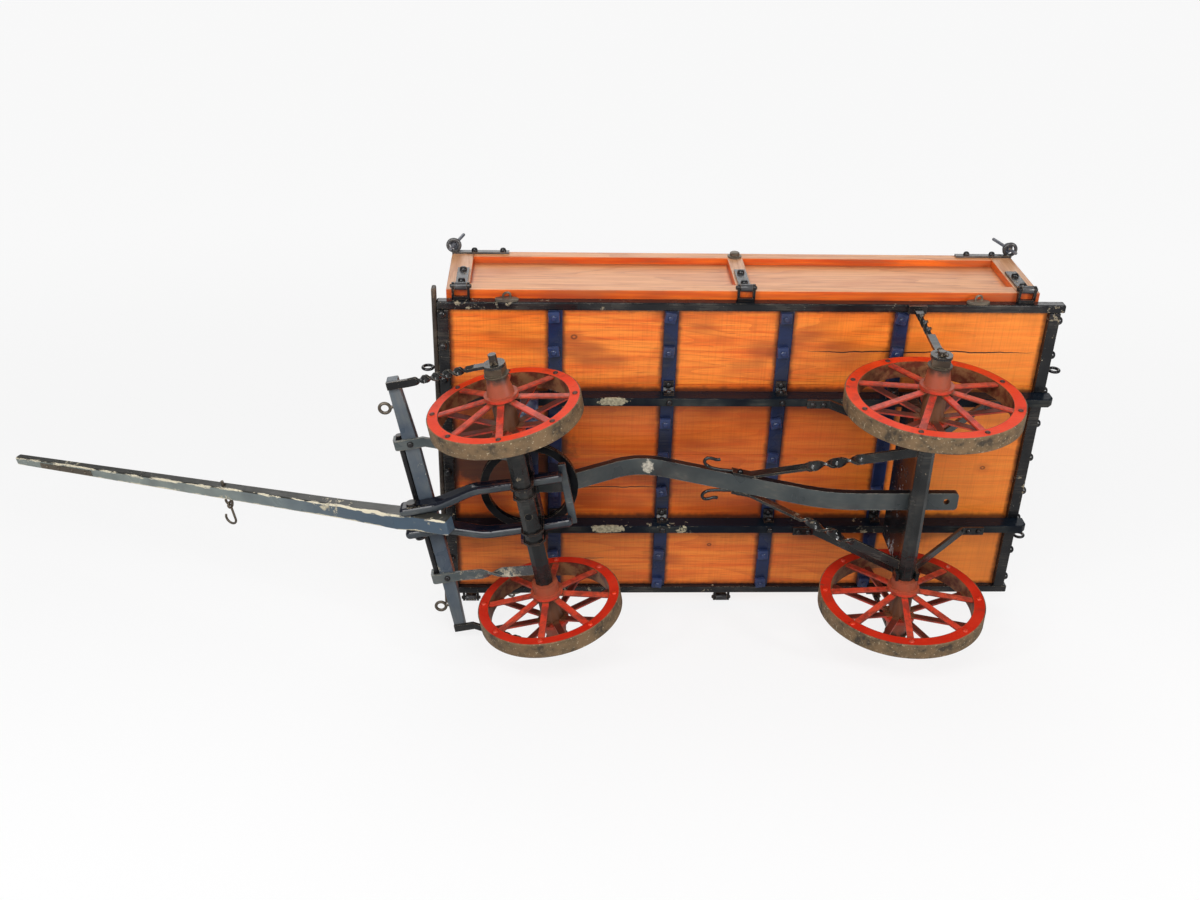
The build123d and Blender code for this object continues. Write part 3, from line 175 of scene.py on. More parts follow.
hung_light("overhead_light", 'AREA', (0.05, 0.95, -0.65), WAGON_MIDDLE, 9.0,
           shape='RECTANGLE', size=1.0, size_y=0.6)
hung_light("front_lamp", 'AREA', (0.65, 0.6, -0.6), (0.0, 0.05, 0.14), 3.2, shape='DISK', size=LAMP_SIZE)
hung_light("rear_lamp", 'AREA', (-0.95, 0.45, -0.55), (-0.4, 0, 0.14), 4.0, shape='DISK', size=LAMP_SIZE)
hung_light("front_light", 'SUN', (0.7, 0.5, -1.7), WAGON_MIDDLE, 0.3, angle=math.radians(40))
hung_light("back_light", 'SUN', (-0.15, 1.0, 1.75), WAGON_MIDDLE, 0.9, angle=math.radians(50))
hung_light("right_light", 'SUN', (0.4, -1.7, 0.9), WAGON_MIDDLE, 0.8, angle=math.radians(40))

room = bpy.data.worlds.new("studio_room")
room.use_nodes = True
tree = room.node_tree
tree.nodes.clear()
walls = put(tree, 'ShaderNodeBackground', {'Strength': strength_of(tree, ROOM_LIGHT, ROOM_SEEN)}).outputs[0]
put(tree, 'ShaderNodeOutputWorld', {'Surface': walls})
bpy.context.scene.world = room

# Floor: four pine boards laid lengthwise between the rails and varnished a bright orange, darker in the
# growth rings. Beside the irons they are darkened, partly by smudged paint and partly by painted shade;
# over the turntable lies a patch of painted shade, the middle and right boards are darker, partly in tone
# and partly with painted shade, and the rear end carries painted light. Three have split.
X, Y, Z = range(3)


def edges(node, axis):
    """The low and the high edge of a CAD piece along an axis, in millimetres."""
    return [corner[axis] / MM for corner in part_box(node)]


def centre_of(node, axis):
    """The middle of a CAD piece along an axis, in millimetres."""
    return sum(edges(node, axis)) / 2


BED_X = centre_of("floor_boards", X)
FLOOR_HALF = edges("front_rail", X)[0] - BED_X
RAIL_INSIDE = edges("left_side_rail", Y)[0]
PLANK_PITCH = 64.2
SEAM = 0.4
CROSS_HALF = 5.5
CROSS_PITCH = 89.0
CROSS_X = [edges("cross_members", X)[0] + CROSS_HALF + CROSS_PITCH * step for step in range(4)]
SILL_HALF = 3.5
LEFT_SILL_Y = centre_of("left_sill", Y)
RIGHT_SILL_Y = centre_of("right_sill", Y)
BOARD_LOT = (400, 90, 40)
FLOOR_KNOTS = ((-63.2, 104.5, 3.6), (-350.0, 36.0, 2.6), (-402.0, -12.0, 3.0), (-180.0, -88.0, 2.8))
KNOT_SHAPE = (1.25, 1, 1)
FLOOR_SPLITS = ((93.2, -432, -238, 0.42), (-30.6, -136, -62, 0.3), (-101.5, -95, -20, 0.22))
SPLIT_DEPTH = 3.0
# Where the patch of painted shade over the turntable lies, and how far it spreads.
TURNTABLE_SHADE_MIDDLE = (-8.0, 2.0, 143.0)
TURNTABLE_SHADE_SPREAD = (60.0, 37.0, 40.0)


def tone(red, green, blue):
    """A colour as a paint card shows it, from 0 to 255, made linear for a shader."""
    shares = (channel / 255 for channel in (red, green, blue))
    return tuple(s / 12.92 if s <= 0.04045 else ((s + 0.055) / 1.055) ** 2.4 for s in shares) + (1,)


def tree_of(*values):
    """The node tree that the first linked value belongs to."""
    return next(value.id_data for value in values if isinstance(value, bpy.types.NodeSocket))


def reckon(operation, *values):
    """One step of arithmetic on values that change over a surface."""
    return put(tree_of(*values), 'ShaderNodeMath', dict(enumerate(values)), operation=operation).outputs[0]


times = partial(reckon, 'MULTIPLY')
times_plus = partial(reckon, 'MULTIPLY_ADD')
minus = partial(reckon, 'SUBTRACT')
unsigned = partial(reckon, 'ABSOLUTE')
highest = partial(reckon, 'MAXIMUM')
lowest = partial(reckon, 'MINIMUM')


def off(value, place):
    """How far a value lies from a place, either way."""
    return unsigned(minus(value, place))


def mixed(share, first, second):
    """Two colours mixed by a share of the second."""
    return put(tree_of(share, first, second), 'ShaderNodeMix', {0: share, 6: first, 7: second},
               data_type='RGBA').outputs[2]


def reckon_vector(operation, first, second):
    """One step of arithmetic on vectors."""
    return put(first.id_data, 'ShaderNodeVectorMath', {0: first, 1: second}, operation=operation).outputs[0]


def axes_of(spot):
    """A vector's X, Y and Z."""
    return put(spot.id_data, 'ShaderNodeSeparateXYZ', {0: spot}).outputs


def vector_of(*values):
    """A vector from its X, Y and Z; what isn't given is nought."""
    return put(tree_of(*values), 'ShaderNodeCombineXYZ', dict(enumerate(values))).outputs[0]


def away_from(spot, middle, spread):
    """How far a spot lies from a middle, as a share of the spread."""
    return length_of(reckon_vector('DIVIDE', reckon_vector('SUBTRACT', spot, middle), spread))


def cloudy(spot, stretch, detail=3.0, rough=0.55, shift=(0, 0, 0)):
    """Soft noise over millimetres, stretched along each axis or alike along all three."""
    scale = stretch if isinstance(stretch, tuple) else (stretch, stretch, stretch)
    spread = put(spot.id_data, 'ShaderNodeMapping',
                 {'Vector': spot, 'Scale': scale, 'Location': shift}).outputs[0]
    return put(spot.id_data, 'ShaderNodeTexNoise',
               {'Vector': spread, 'Scale': 1.0, 'Detail': detail, 'Roughness': rough}).outputs[0]


def shared_effect(name, **takes):
    """A node group that several finishes use, and its inputs."""
    effect = bpy.data.node_groups.new(name, 'ShaderNodeTree')
    for label, kind in takes.items():
        effect.interface.new_socket(label, in_out='INPUT', socket_type=f'NodeSocket{kind}')
    return effect, put(effect, 'NodeGroupInput').outputs


def give_out(effect, **values):
    """The values that a shared effect hands to a finish."""
    for label in values:
        effect.interface.new_socket(label, in_out='OUTPUT', socket_type='NodeSocketFloat')
    put(effect, 'NodeGroupOutput', values)


def made_with(effect, **takes):
    """What a shared effect gives for its inputs."""
    return put(tree_of(*takes.values()), 'ShaderNodeGroup', takes, node_tree=effect).outputs


def radians_of(turn):
    """A turn about X, Y and Z, from degrees."""
    return [math.radians(angle) for angle in turn]


def new_finish(name, place=(0, 0, 0), turn=(0, 0, 0), looks=None):
    """A material, its shader, and millimetres in a piece's own frame, from its origin and turn in degrees."""
    finish = bpy.data.materials.new(name)
    finish.use_nodes = True
    tree = finish.node_tree
    tree.nodes.clear()
    shader = put(tree, 'ShaderNodeBsdfPrincipled', looks)
    put(tree, 'ShaderNodeOutputMaterial', {'Surface': shader.outputs[0]})
    spot = put(tree, 'ShaderNodeTexCoord').outputs['Object']
    spot = put(tree, 'ShaderNodeMapping',
               {'Vector': spot, 'Location': Vector(place) * MM, 'Rotation': radians_of(turn),
                'Scale': (MM, MM, MM)}, vector_type='TEXTURE').outputs[0]
    return finish, shader, spot


def way_faced(shader, turn=(0, 0, 0)):
    """The way a surface faces along each axis of a piece's own frame, turned in degrees."""
    normal = put(shader.id_data, 'ShaderNodeTexCoord').outputs['Normal']
    own = put(shader.id_data, 'ShaderNodeVectorRotate', {'Vector': normal, 'Rotation': radians_of(turn)},
              rotation_type='EULER_XYZ', invert=True).outputs[0]
    return axes_of(own)


def dress(shader, colour, rough, relief, strength, depth):
    """Gives a shader its colour, its roughness and a relief of a depth in millimetres."""
    bump = put(shader.id_data, 'ShaderNodeBump',
               {'Strength': strength, 'Distance': depth * MM, 'Height': relief}).outputs[0]
    for label, value in (('Base Color', colour), ('Roughness', rough), ('Normal', bump)):
        shader.id_data.links.new(value, shader.inputs[label])


def ease_edges(piece, width, steps):
    """Takes the sharp edges off a squared piece, by a width in millimetres."""
    joined = piece.modifiers.new("joined_faces", 'WELD')
    joined.merge_threshold = 0.002 * MM
    flats = piece.modifiers.new("whole_flats", 'DECIMATE')
    flats.decimate_type = 'DISSOLVE'
    flats.angle_limit = math.radians(0.5)
    rounding = piece.modifiers.new("eased_edges", 'BEVEL')
    rounding.width = width * MM
    rounding.segments = steps
    rounding.use_clamp_overlap = steps < 3
    rounding.limit_method = 'ANGLE'
    rounding.angle_limit = math.radians(35)


def clad(names, finish, ease=0.0, steps=2):
    """Puts a finish on CAD pieces and, where a width is given, eases their edges."""
    for name in names:
        piece = wagon[name]
        piece.data.materials.clear()
        piece.data.materials.append(finish)
        if ease:
            ease_edges(piece, ease, steps)


pine_figure, taken = shared_effect("pine_figure", Grain='Vector')
grain = taken["Grain"]
swell = cloudy(grain, (0.0028, 0.028, 0.028), 2, 0.4)
give_out(pine_figure, Rings=reckon('FRACT', times(swell, 15.0)),
         Streaks=cloudy(grain, (0.012, 0.3, 0.3), 4), Pores=cloudy(grain, (0.06, 1.6, 1.6), 2),
         Patches=cloudy(grain, (0.012, 0.03, 0.03), 2))

floor_pine, shader, spot = new_finish("floor_pine", looks={'Coat Weight': 0.25, 'Coat Roughness': 0.3})
x, y, _ = axes_of(spot)
board = reckon('FLOOR', reckon('DIVIDE', y, PLANK_PITCH))
luck, lot = put(spot.id_data, 'ShaderNodeTexWhiteNoise', {'W': board}, noise_dimensions='1D').outputs
figure = made_with(pine_figure, Grain=reckon_vector('ADD', spot, reckon_vector('MULTIPLY', lot, BOARD_LOT)))
colour = mixed(eased(figure["Streaks"], 0.3, 0.72), tone(255, 148, 52), tone(240, 108, 28))
colour = mixed(eased(figure["Rings"], 0.55, 1.0, top=0.34), colour, tone(190, 74, 18))
colour = mixed(eased(figure["Pores"], 0.54, 0.72, top=0.5), colour, tone(160, 62, 20))
colour = mixed(eased(figure["Patches"], 0.5, 0.7, top=0.62), colour, tone(142, 60, 22))
# The right outer board is darker: partly its own tone, partly painted shade.
right_board_tone_and_shade = eased(y, -PLANK_PITCH + SEAM, -PLANK_PITCH - SEAM, top=0.3)
colour = mixed(right_board_tone_and_shade, colour, tone(176, 74, 22))
# The two middle boards, between the sills, are darker and redder: partly deeper varnish, partly painted
# shade, fading out towards the rear.
inner_boards_tone_and_shade = eased(unsigned(y), PLANK_PITCH + SEAM, PLANK_PITCH - SEAM)
inner_boards_tone_and_shade = times(inner_boards_tone_and_shade, eased(x, -380.0, -250.0, 0.05, 0.42))
colour = mixed(inner_boards_tone_and_shade, colour, tone(196, 72, 14))
# The rear end of the floor is brightened: painted light.
rear_painted_light = eased(x, -230.0, -400.0, top=0.45)
colour = mixed(rear_painted_light, colour, tone(255, 150, 48))
colour = mixed(times(luck, 0.2), colour, tone(205, 88, 24))
saw = cloudy(spot, (0.9, 0.02, 0.02), 3, 0.6)
colour = mixed(eased(saw, 0.42, 0.7, top=0.16), colour, tone(160, 66, 18))

# Dark margins beside the cross members, sills, rails and board ends: partly smudged paint, partly painted
# shade.
past_cross = reckon('PINGPONG', minus(x, CROSS_X[0]), CROSS_PITCH / 2)
past_cross = highest(past_cross, minus(CROSS_X[0], x))
past_sill = lowest(off(y, LEFT_SILL_Y), off(y, RIGHT_SILL_Y))
past_rail = minus(RAIL_INSIDE, unsigned(y))
past_end = minus(FLOOR_HALF, off(x, BED_X))
nearest = lowest(past_rail, past_end)
for past, half in ((past_cross, CROSS_HALF), (past_sill, SILL_HALF)):
    nearest = lowest(nearest, minus(past, half))
below = eased(way_faced(shader)[Z], -0.2, -0.6)
ragged = times_plus(cloudy(spot, 0.22, 4), 4.4, -1.6)
smudge_and_shade = eased(minus(nearest, ragged), 3.6, -1.5, top=0.85)
colour = mixed(times(smudge_and_shade, below), colour, tone(52, 30, 22))
# A dark patch over the turntable: painted shade.
turntable_shade = away_from(spot, TURNTABLE_SHADE_MIDDLE, TURNTABLE_SHADE_SPREAD)
turntable_shade = eased(times_plus(ragged, 0.08, turntable_shade), 1.12, 0.78, top=0.86)
colour = mixed(times(turntable_shade, below), colour, tone(40, 31, 24))

for knot_x, knot_y, size in FLOOR_KNOTS:
    from_knot = away_from(vector_of(x, y), (knot_x, knot_y, 0), KNOT_SHAPE)
    from_knot = times_plus(figure["Streaks"], 0.8, from_knot)
    halo = eased(from_knot, size * 2.6, size * 0.8, top=0.35)
    core = eased(from_knot, size * 0.85, size * 0.55, top=0.75)
    eyelet = times(eased(from_knot, size * 0.2, size * 0.5), core)
    colour = mixed(halo, colour, tone(176, 78, 28))
    colour = mixed(eyelet, colour, tone(70, 32, 16))
relief = times_plus(figure["Pores"], 0.4, times(figure["Rings"], 0.25))
relief = times_plus(saw, 0.25, relief)
wander = times_plus(cloudy(spot, (0.035, 0.0, 0.0)), 6.0, -3.0)
for split_y, start, end, half in FLOOR_SPLITS:
    taper = eased(off(x, (start + end) / 2), (end - start) / 2, (end - start) / 4, top=half)
    off_line = off(reckon('ADD', y, wander), split_y)
    split = eased(minus(off_line, taper), 0.22, -0.02)
    split = times(split, eased(taper, 0.0, 0.06))
    colour = mixed(split, colour, tone(46, 22, 14))
    relief = times_plus(split, -SPLIT_DEPTH, relief)
dress(shader, colour, eased(figure["Pores"], 0.3, 0.8, 0.36, 0.5), relief, 0.5, 0.25)
clad(["floor_boards"], floor_pine)

# Bed rails: square iron bars round the bed, brushed with thick black paint that has chipped to rust and
# cream primer. A flat bar lies across the front. Round-headed bolts hold the ends, eyes take the ropes.
RAILS = ["left_side_rail", "right_side_rail", "front_rail", "rear_rail"]
RAIL_Y = edges("left_side_rail", Y)[1]
RAIL_Z = centre_of("left_side_rail", Z)
REAR_FACE_X = edges("rear_rail", X)[0]
FRONT_BOLTS_X = 37.6
BED_UNDERSIDE = edges("front_rail", Z)[0]
END_BOLTS_Y = (120.7, 91.3, 59.7, 30.0, -1.8, -33.8, -60.3, -93.0, -120.6)
FRONT_BOLTS_Y = (125.3, 98.4, 70.1, 42.0, 14.0, -14.0, -42.0, -70.1, -98.4, -125.3)
EYE_PLATES_X = (-11.8, -373.8)
PLATE_EYE = 3.0
PLATE_EYE_WIRE = 0.9
PLATE_EYE_Z = 3.2
PLATE_EYE_TURN = 20
RUBBED_WIDTH = 1.1
DOME_STEPS = ((0.12, 0.3), (0.22, 0.22), (0.3, 0.11))
BLACK = tone(16, 17, 20)
SOOT = tone(32, 32, 34)
RUST = tone(112, 82, 58)
DUST = tone(150, 138, 120)
GREASE = tone(52, 42, 34)

worn_edge, taken = shared_effect("worn_edge", Spot='Vector', Amount='Float')
rounded = put(worn_edge, 'ShaderNodeBevel', {'Radius': RUBBED_WIDTH * MM}, samples=6).outputs[0]
normal = put(worn_edge, 'ShaderNodeNewGeometry').outputs['Normal']
bend = put(worn_edge, 'ShaderNodeVectorMath', {0: rounded, 1: normal},
           operation='DOT_PRODUCT').outputs['Value']
turned = times(minus(1.0, bend), 7.0)
rubbed = times_plus(cloudy(taken["Spot"], 0.11, 5, 0.65), 1.7, -0.55)
rubbed = times(times(turned, rubbed), taken["Amount"])
give_out(worn_edge, Bare=eased(rubbed, 0.18, 0.42))

chipped, taken = shared_effect("chipped_paint", Spot='Vector', Amount='Float')
flakes = cloudy(taken["Spot"], 0.17, 6, 0.7)
places = cloudy(taken["Spot"], 0.02, 2, 0.5, (31, 7, 3))
score = times_plus(flakes, 0.75, times(places, 0.55))
score = times_plus(taken["Amount"], 0.22, score)
give_out(chipped, Bare=eased(score, 0.86, 0.885))

brush_marks, taken = shared_effect("brush_marks", Spot='Vector')
strokes = cloudy(taken["Spot"], (0.03, 0.5, 0.5))
lumps = cloudy(taken["Spot"], 0.16, 3, 0.5, (9, 4, 1))
thick = cloudy(taken["Spot"], 0.035, 3, 0.5, (3, 8, 5))
settled = times(eased(thick, 0.44, 0.8), eased(strokes, 0.35, 0.75))
give_out(brush_marks, Tone=eased(thick, 0.3, 0.74), Height=times_plus(strokes, 0.5, lumps),
         Dust=settled)


def brushed_paint(name, paint, faded, bare, place=(0, 0, 0), turn=(0, 0, 0), wear=0.5, chips=0.3, gloss=0.3,
                  dust=0.25, shine=0.5, metal=0.0, scars=(), greasy_past=None, sides=None, stain=None,
                  corners=None):
    """Thick hand-brushed paint: uneven in tone, worn off the edges, chipped and dusty.

    Scars are scraped bare. Side faces take another, darker colour, partly the paint's own and partly painted
    shade. A stain comes on along X, corners are rubbed along a tapered bar, and past a distance from the
    middle there is grease.
    """
    finish, shader, spot = new_finish(name, place, turn, {'Specular IOR Level': shine, 'Metallic': metal})
    x, y, z = axes_of(spot)
    marks = made_with(brush_marks, Spot=spot)
    edge = made_with(worn_edge, Spot=spot, Amount=wear)["Bare"]
    flake = made_with(chipped, Spot=spot, Amount=chips)["Bare"]
    colour = mixed(marks["Tone"], paint, faded)
    colour = mixed(times(marks["Dust"], dust), colour, DUST)
    if stain:
        fresh, stained, shade = stain
        colour = mixed(eased(x, fresh, stained), colour, shade)
    # Side faces get the darker side colour: partly the paint's own tones, partly painted shade.
    if sides:
        aside = unsigned(way_faced(shader, turn)[Y])
        colour = mixed(eased(aside, 0.35, 0.6), colour, sides)
    if corners:
        half_width, narrowing, half_depth, thinning, shade = corners
        from_side = minus(times_plus(x, -narrowing, half_width), unsigned(y))
        from_under = reckon('ADD', times_plus(x, -thinning, half_depth), z)
        rubs = times_plus(cloudy(spot, (0.05, 0.3, 0.3), 4, 0.65), 9.0, -3.9)
        from_corner = minus(highest(from_side, from_under), rubs)
        colour = mixed(eased(from_corner, 0.6, 0.0), colour, shade)
    if greasy_past:
        colour = mixed(eased(unsigned(y), greasy_past, greasy_past + 2), colour, GREASE)
    gone = highest(edge, flake)
    if scars:
        torn = times_plus(cloudy(spot, 0.35, 4), 1.6, -0.8)
        for scar, spread in scars:
            scraped = eased(reckon('ADD', away_from(spot, scar, spread), torn), 1.05, 0.9)
            gone = highest(gone, scraped)
    under = mixed(eased(cloudy(spot, 0.5), 0.35, 0.65), bare, tuple(0.55 * c for c in bare[:3]) + (1,))
    rough = times_plus(marks["Tone"], 0.14, gloss)
    rough = times_plus(gone, 0.3, rough)
    rough = times_plus(marks["Dust"], 0.12, rough)
    relief = times_plus(gone, -0.5, marks["Height"])
    dress(shader, mixed(gone, colour, under), rough, relief, 0.6, 0.45)
    return finish


def pick(piece, test):
    """In edit mode, selects the faces whose middle and normal pass a test."""
    bpy.ops.mesh.select_mode(type='FACE')
    bpy.ops.mesh.select_all(action='DESELECT')
    shape = bmesh.from_edit_mesh(piece.data)
    for face in shape.faces:
        if test(face.calc_center_median(), face.normal):
            face.select_set(True)
    bmesh.update_edit_mesh(piece.data)


def upward(middle, normal):
    """A test for the faces that look up."""
    return normal.z > 0.9


def step_in(width, rise):
    """In edit mode, steps the picked faces in by a width and up by a rise, in millimetres."""
    bpy.ops.mesh.inset(thickness=width * MM, depth=rise * MM)


def leave_edit(smooth_below):
    """Leaves edit mode, with edges smooth below an angle in degrees."""
    bpy.ops.object.mode_set(mode='OBJECT')
    bpy.ops.object.shade_smooth_by_angle(angle=math.radians(smooth_below))


def stand_up(piece, *size):
    """Brings a solid of unit size to millimetres, standing on z = 0, and opens it in edit mode."""
    piece.data.transform(Matrix.Diagonal(Vector(size) * MM).to_4x4() @ Matrix.Translation((0, 0, 0.5)))
    bpy.ops.object.mode_set(mode='EDIT')


def drum(half_length, half_width, height, sides):
    """A round or oval drum, in edit mode with its top picked."""
    bpy.ops.object.select_all(action='DESELECT')
    bpy.ops.mesh.primitive_cylinder_add(vertices=sides, radius=1, depth=1)
    started = bpy.context.object
    stand_up(started, half_length, half_width, height)
    pick(started, upward)
    return started


def round_head(radius, height, sides=20):
    """A round bolt head seated on z = 0: a low drum drawn up and in to a dome."""
    head = drum(radius, radius, 0.35 * height, sides)
    for step, rise in DOME_STEPS:
        pick(head, upward)
        step_in(step * radius, rise * height)
    leave_edit(50)
    return head


def fit(piece, name, body, finish):
    """Names a piece, gives it a finish and hangs it on the body that carries it."""
    piece.name = name
    piece.data.name = name
    piece.data.materials.clear()
    piece.data.materials.append(finish)
    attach(piece, body)


black_paint = brushed_paint("black_paint", BLACK, SOOT, RUST, chips=0.25, gloss=0.12, dust=0.15)


def set_out(model, name, places, body, finish=black_paint, seat=Matrix.Identity(4)):
    """Copies a model to each place, turned to the way it faces, and joins the copies as one piece."""
    copies = []
    for point, way, turn in places:
        copy = model.copy()
        copy.data = model.data.copy()
        stand = Vector(way).to_track_quat('Z', 'Y').to_matrix().to_4x4()
        stand = Matrix.Translation(Vector(point) * MM) @ stand @ Matrix.Rotation(math.radians(turn), 4, 'Z')
        copy.data.transform(seat @ stand)
        bpy.context.scene.collection.objects.link(copy)
        copies.append(copy)
    bpy.ops.object.select_all(action='DESELECT')
    for copy in copies:
        copy.select_set(True)
    bpy.context.view_layer.objects.active = copies[0]
    if len(copies) > 1:
        bpy.ops.object.join()
    piece = bpy.context.view_layer.objects.active
    fit(piece, name, body, finish)
    return piece


# The rails' darker side faces are painted shade.
rail_paint = brushed_paint(
    "rail_paint", BLACK, SOOT, tone(160, 146, 120), wear=0.9, chips=0.42, gloss=0.14,
    sides=tone(18, 20, 24))
worn_black = brushed_paint(
    "worn_black", tone(34, 30, 28), tone(62, 52, 44), tone(136, 108, 84), wear=0.8, chips=0.6, gloss=0.35)
steel = brushed_paint(
    "tarnished_steel", tone(96, 88, 78), tone(134, 122, 106), tone(176, 164, 146), wear=0.7, gloss=0.36,
    metal=0.6)
clad(RAILS, rail_paint, 1.2)
clad(["front_bar"], worn_black, 1.2)
clad(["tie_eyes"], black_paint)

end_bolt = round_head(radius=3.3, height=3.6)
rear_bolts = [((REAR_FACE_X, y, RAIL_Z), (-1, 0, 0), 17 * i) for i, y in enumerate(END_BOLTS_Y)]
set_out(end_bolt, "rear_rail_bolts", rear_bolts, "bed")
front_bolts = [((FRONT_BOLTS_X, y, BED_UNDERSIDE), (0, 0, -1), 23 * i) for i, y in enumerate(FRONT_BOLTS_Y)]
set_out(end_bolt, "front_rail_bolts", front_bolts, "bed")

eye_plate = drum(half_length=9.0, half_width=4.3, height=1.4, sides=28)
step_in(1.0, 0.5)
step_in(1.2, -0.2)
bpy.ops.mesh.primitive_torus_add(major_radius=PLATE_EYE * MM, minor_radius=PLATE_EYE_WIRE * MM,
                                 major_segments=24, minor_segments=8, location=(0, 0, PLATE_EYE_Z * MM),
                                 rotation=(math.radians(90), 0, math.radians(PLATE_EYE_TURN)))
leave_edit(40)
plates = [((x, side * RAIL_Y, RAIL_Z), (0, side, 0), 0) for side in (1, -1) for x in EYE_PLATES_X]
set_out(eye_plate, "rail_eye_plates", plates, "bed", steel)

# Cross members: flat bars under the floor, painted navy while in place, so the paint runs on to the
# boards; the dark margins beside them there are partly that paint and partly painted shade. Square nuts on
# bolt ends clamp the floor to them.
CROSS_FACE_Z = edges("cross_members", Z)[0]
CROSS_NUTS_Y = (123.5, 94.5, 32.0, 0.0, -32.0, -94.5, -123.5)
NUTS_FORWARD = 1.2
NAVY = tone(30, 42, 78)
DEEP_NAVY = tone(20, 27, 48)


def square_nut(across, height):
    """A square nut seated on z = 0, its corners eased, with the bolt's end standing out of it."""
    bpy.ops.object.select_all(action='DESELECT')
    bpy.ops.mesh.primitive_cube_add(size=1)
    nut = bpy.context.object
    stand_up(nut, across, across, height)
    bpy.ops.mesh.select_all(action='SELECT')
    bpy.ops.mesh.bevel(offset=0.1 * across * MM, segments=2, affect='EDGES')
    bpy.ops.mesh.select_all(action='DESELECT')
    bpy.ops.mesh.primitive_cylinder_add(vertices=12, radius=0.24 * across * MM, depth=height * MM,
                                        location=(0, 0, 0.85 * height * MM))
    pick(nut, lambda middle, normal: normal.z > 0.9 and middle.z > 1.2 * height * MM)
    step_in(0.06 * across, 0.05 * across)
    leave_edit(35)
    return nut


navy_paint = brushed_paint(
    "navy_paint", NAVY, DEEP_NAVY, tone(70, 66, 62), wear=0.35, chips=0.12, gloss=0.2, dust=0.15)
nut_navy = brushed_paint(
    "nut_navy", tone(46, 60, 100), tone(34, 44, 76), tone(90, 88, 86), chips=0.15, gloss=0.2, dust=0.15)
clad(["cross_members"], navy_paint, 0.8)
cross_nut = square_nut(across=8.8, height=4.2)
cross_nuts = [((x + NUTS_FORWARD, y, CROSS_FACE_Z), (0, 0, -1), (13 * i + 29 * j) % 24 - 12)
              for i, x in enumerate(CROSS_X) for j, y in enumerate(CROSS_NUTS_Y)]
set_out(cross_nut, "cross_member_nuts", cross_nuts, "bed", nut_navy)

# Sills and cleats: two long bearers of painted wood under the cross members, knocked and scraped to the
# cream ground along their lower edges. Small angle irons bolt each cross member to them.
SILL_FACE_Z = edges("left_sill", Z)[0]
CLEAT_LEG_MID = 6.0
CLEAT_IRON = 1.8
CLEAT_GAP = 0.1
SILL_SCARS = (((-93.5, 57.5, 127.5), (11, 4, 2.6)), ((-92.5, -60.5, 127.5), (14, 4, 2.6)))

# The sills' darker, bluer side faces are painted shade.
sill_paint = brushed_paint(
    "sill_paint", tone(20, 24, 32), tone(48, 52, 52), tone(176, 168, 142), wear=0.6, gloss=0.16, dust=0.2,
    shine=0.08, scars=SILL_SCARS, sides=tone(18, 27, 37))
clad(["left_sill", "right_sill"], sill_paint, 1.0)
clad(["sill_cleats"], black_paint)
cleat_screw = round_head(radius=2.4, height=2.0, sides=14)
cleat_screws = []
for i, x in enumerate(CROSS_X):
    for sill_y in (LEFT_SILL_Y, RIGHT_SILL_Y):
        face_y = sill_y + SILL_HALF + CLEAT_GAP
        under_cross = (x, face_y + CLEAT_LEG_MID, CROSS_FACE_Z - CLEAT_GAP - CLEAT_IRON)
        beside_sill = (x, face_y + CLEAT_IRON, CROSS_FACE_Z - CLEAT_LEG_MID)
        cleat_screws += [(under_cross, (0, 0, -1), 31 * i), (beside_sill, (0, 1, 0), 31 * i)]
set_out(cleat_screw, "cleat_screws", cleat_screws, "bed")
sill_bolts = [((x, sill_y, SILL_FACE_Z), (0, 0, -1), 11 * i)
              for i, x in enumerate(CROSS_X[1:3]) for sill_y in (LEFT_SILL_Y, RIGHT_SILL_Y)]
set_out(cleat_screw, "sill_bolts", sill_bolts, "bed")

# End boards: framed pine boards that stand between the drop sides, varnished like the floor; their outer
# faces are pale, partly bleached and partly painted sheen.
# Stiles and rails are solid sticks, the panel is thin board set back from them.
BED_TOP = edges("left_side_rail", Z)[1]
HEAD_X = edges("headboard", X)[1]
TAIL_X = edges("tailboard", X)[0]
END_STILE_FROM = 110.7
BEYOND_BOARDS = 1000.0


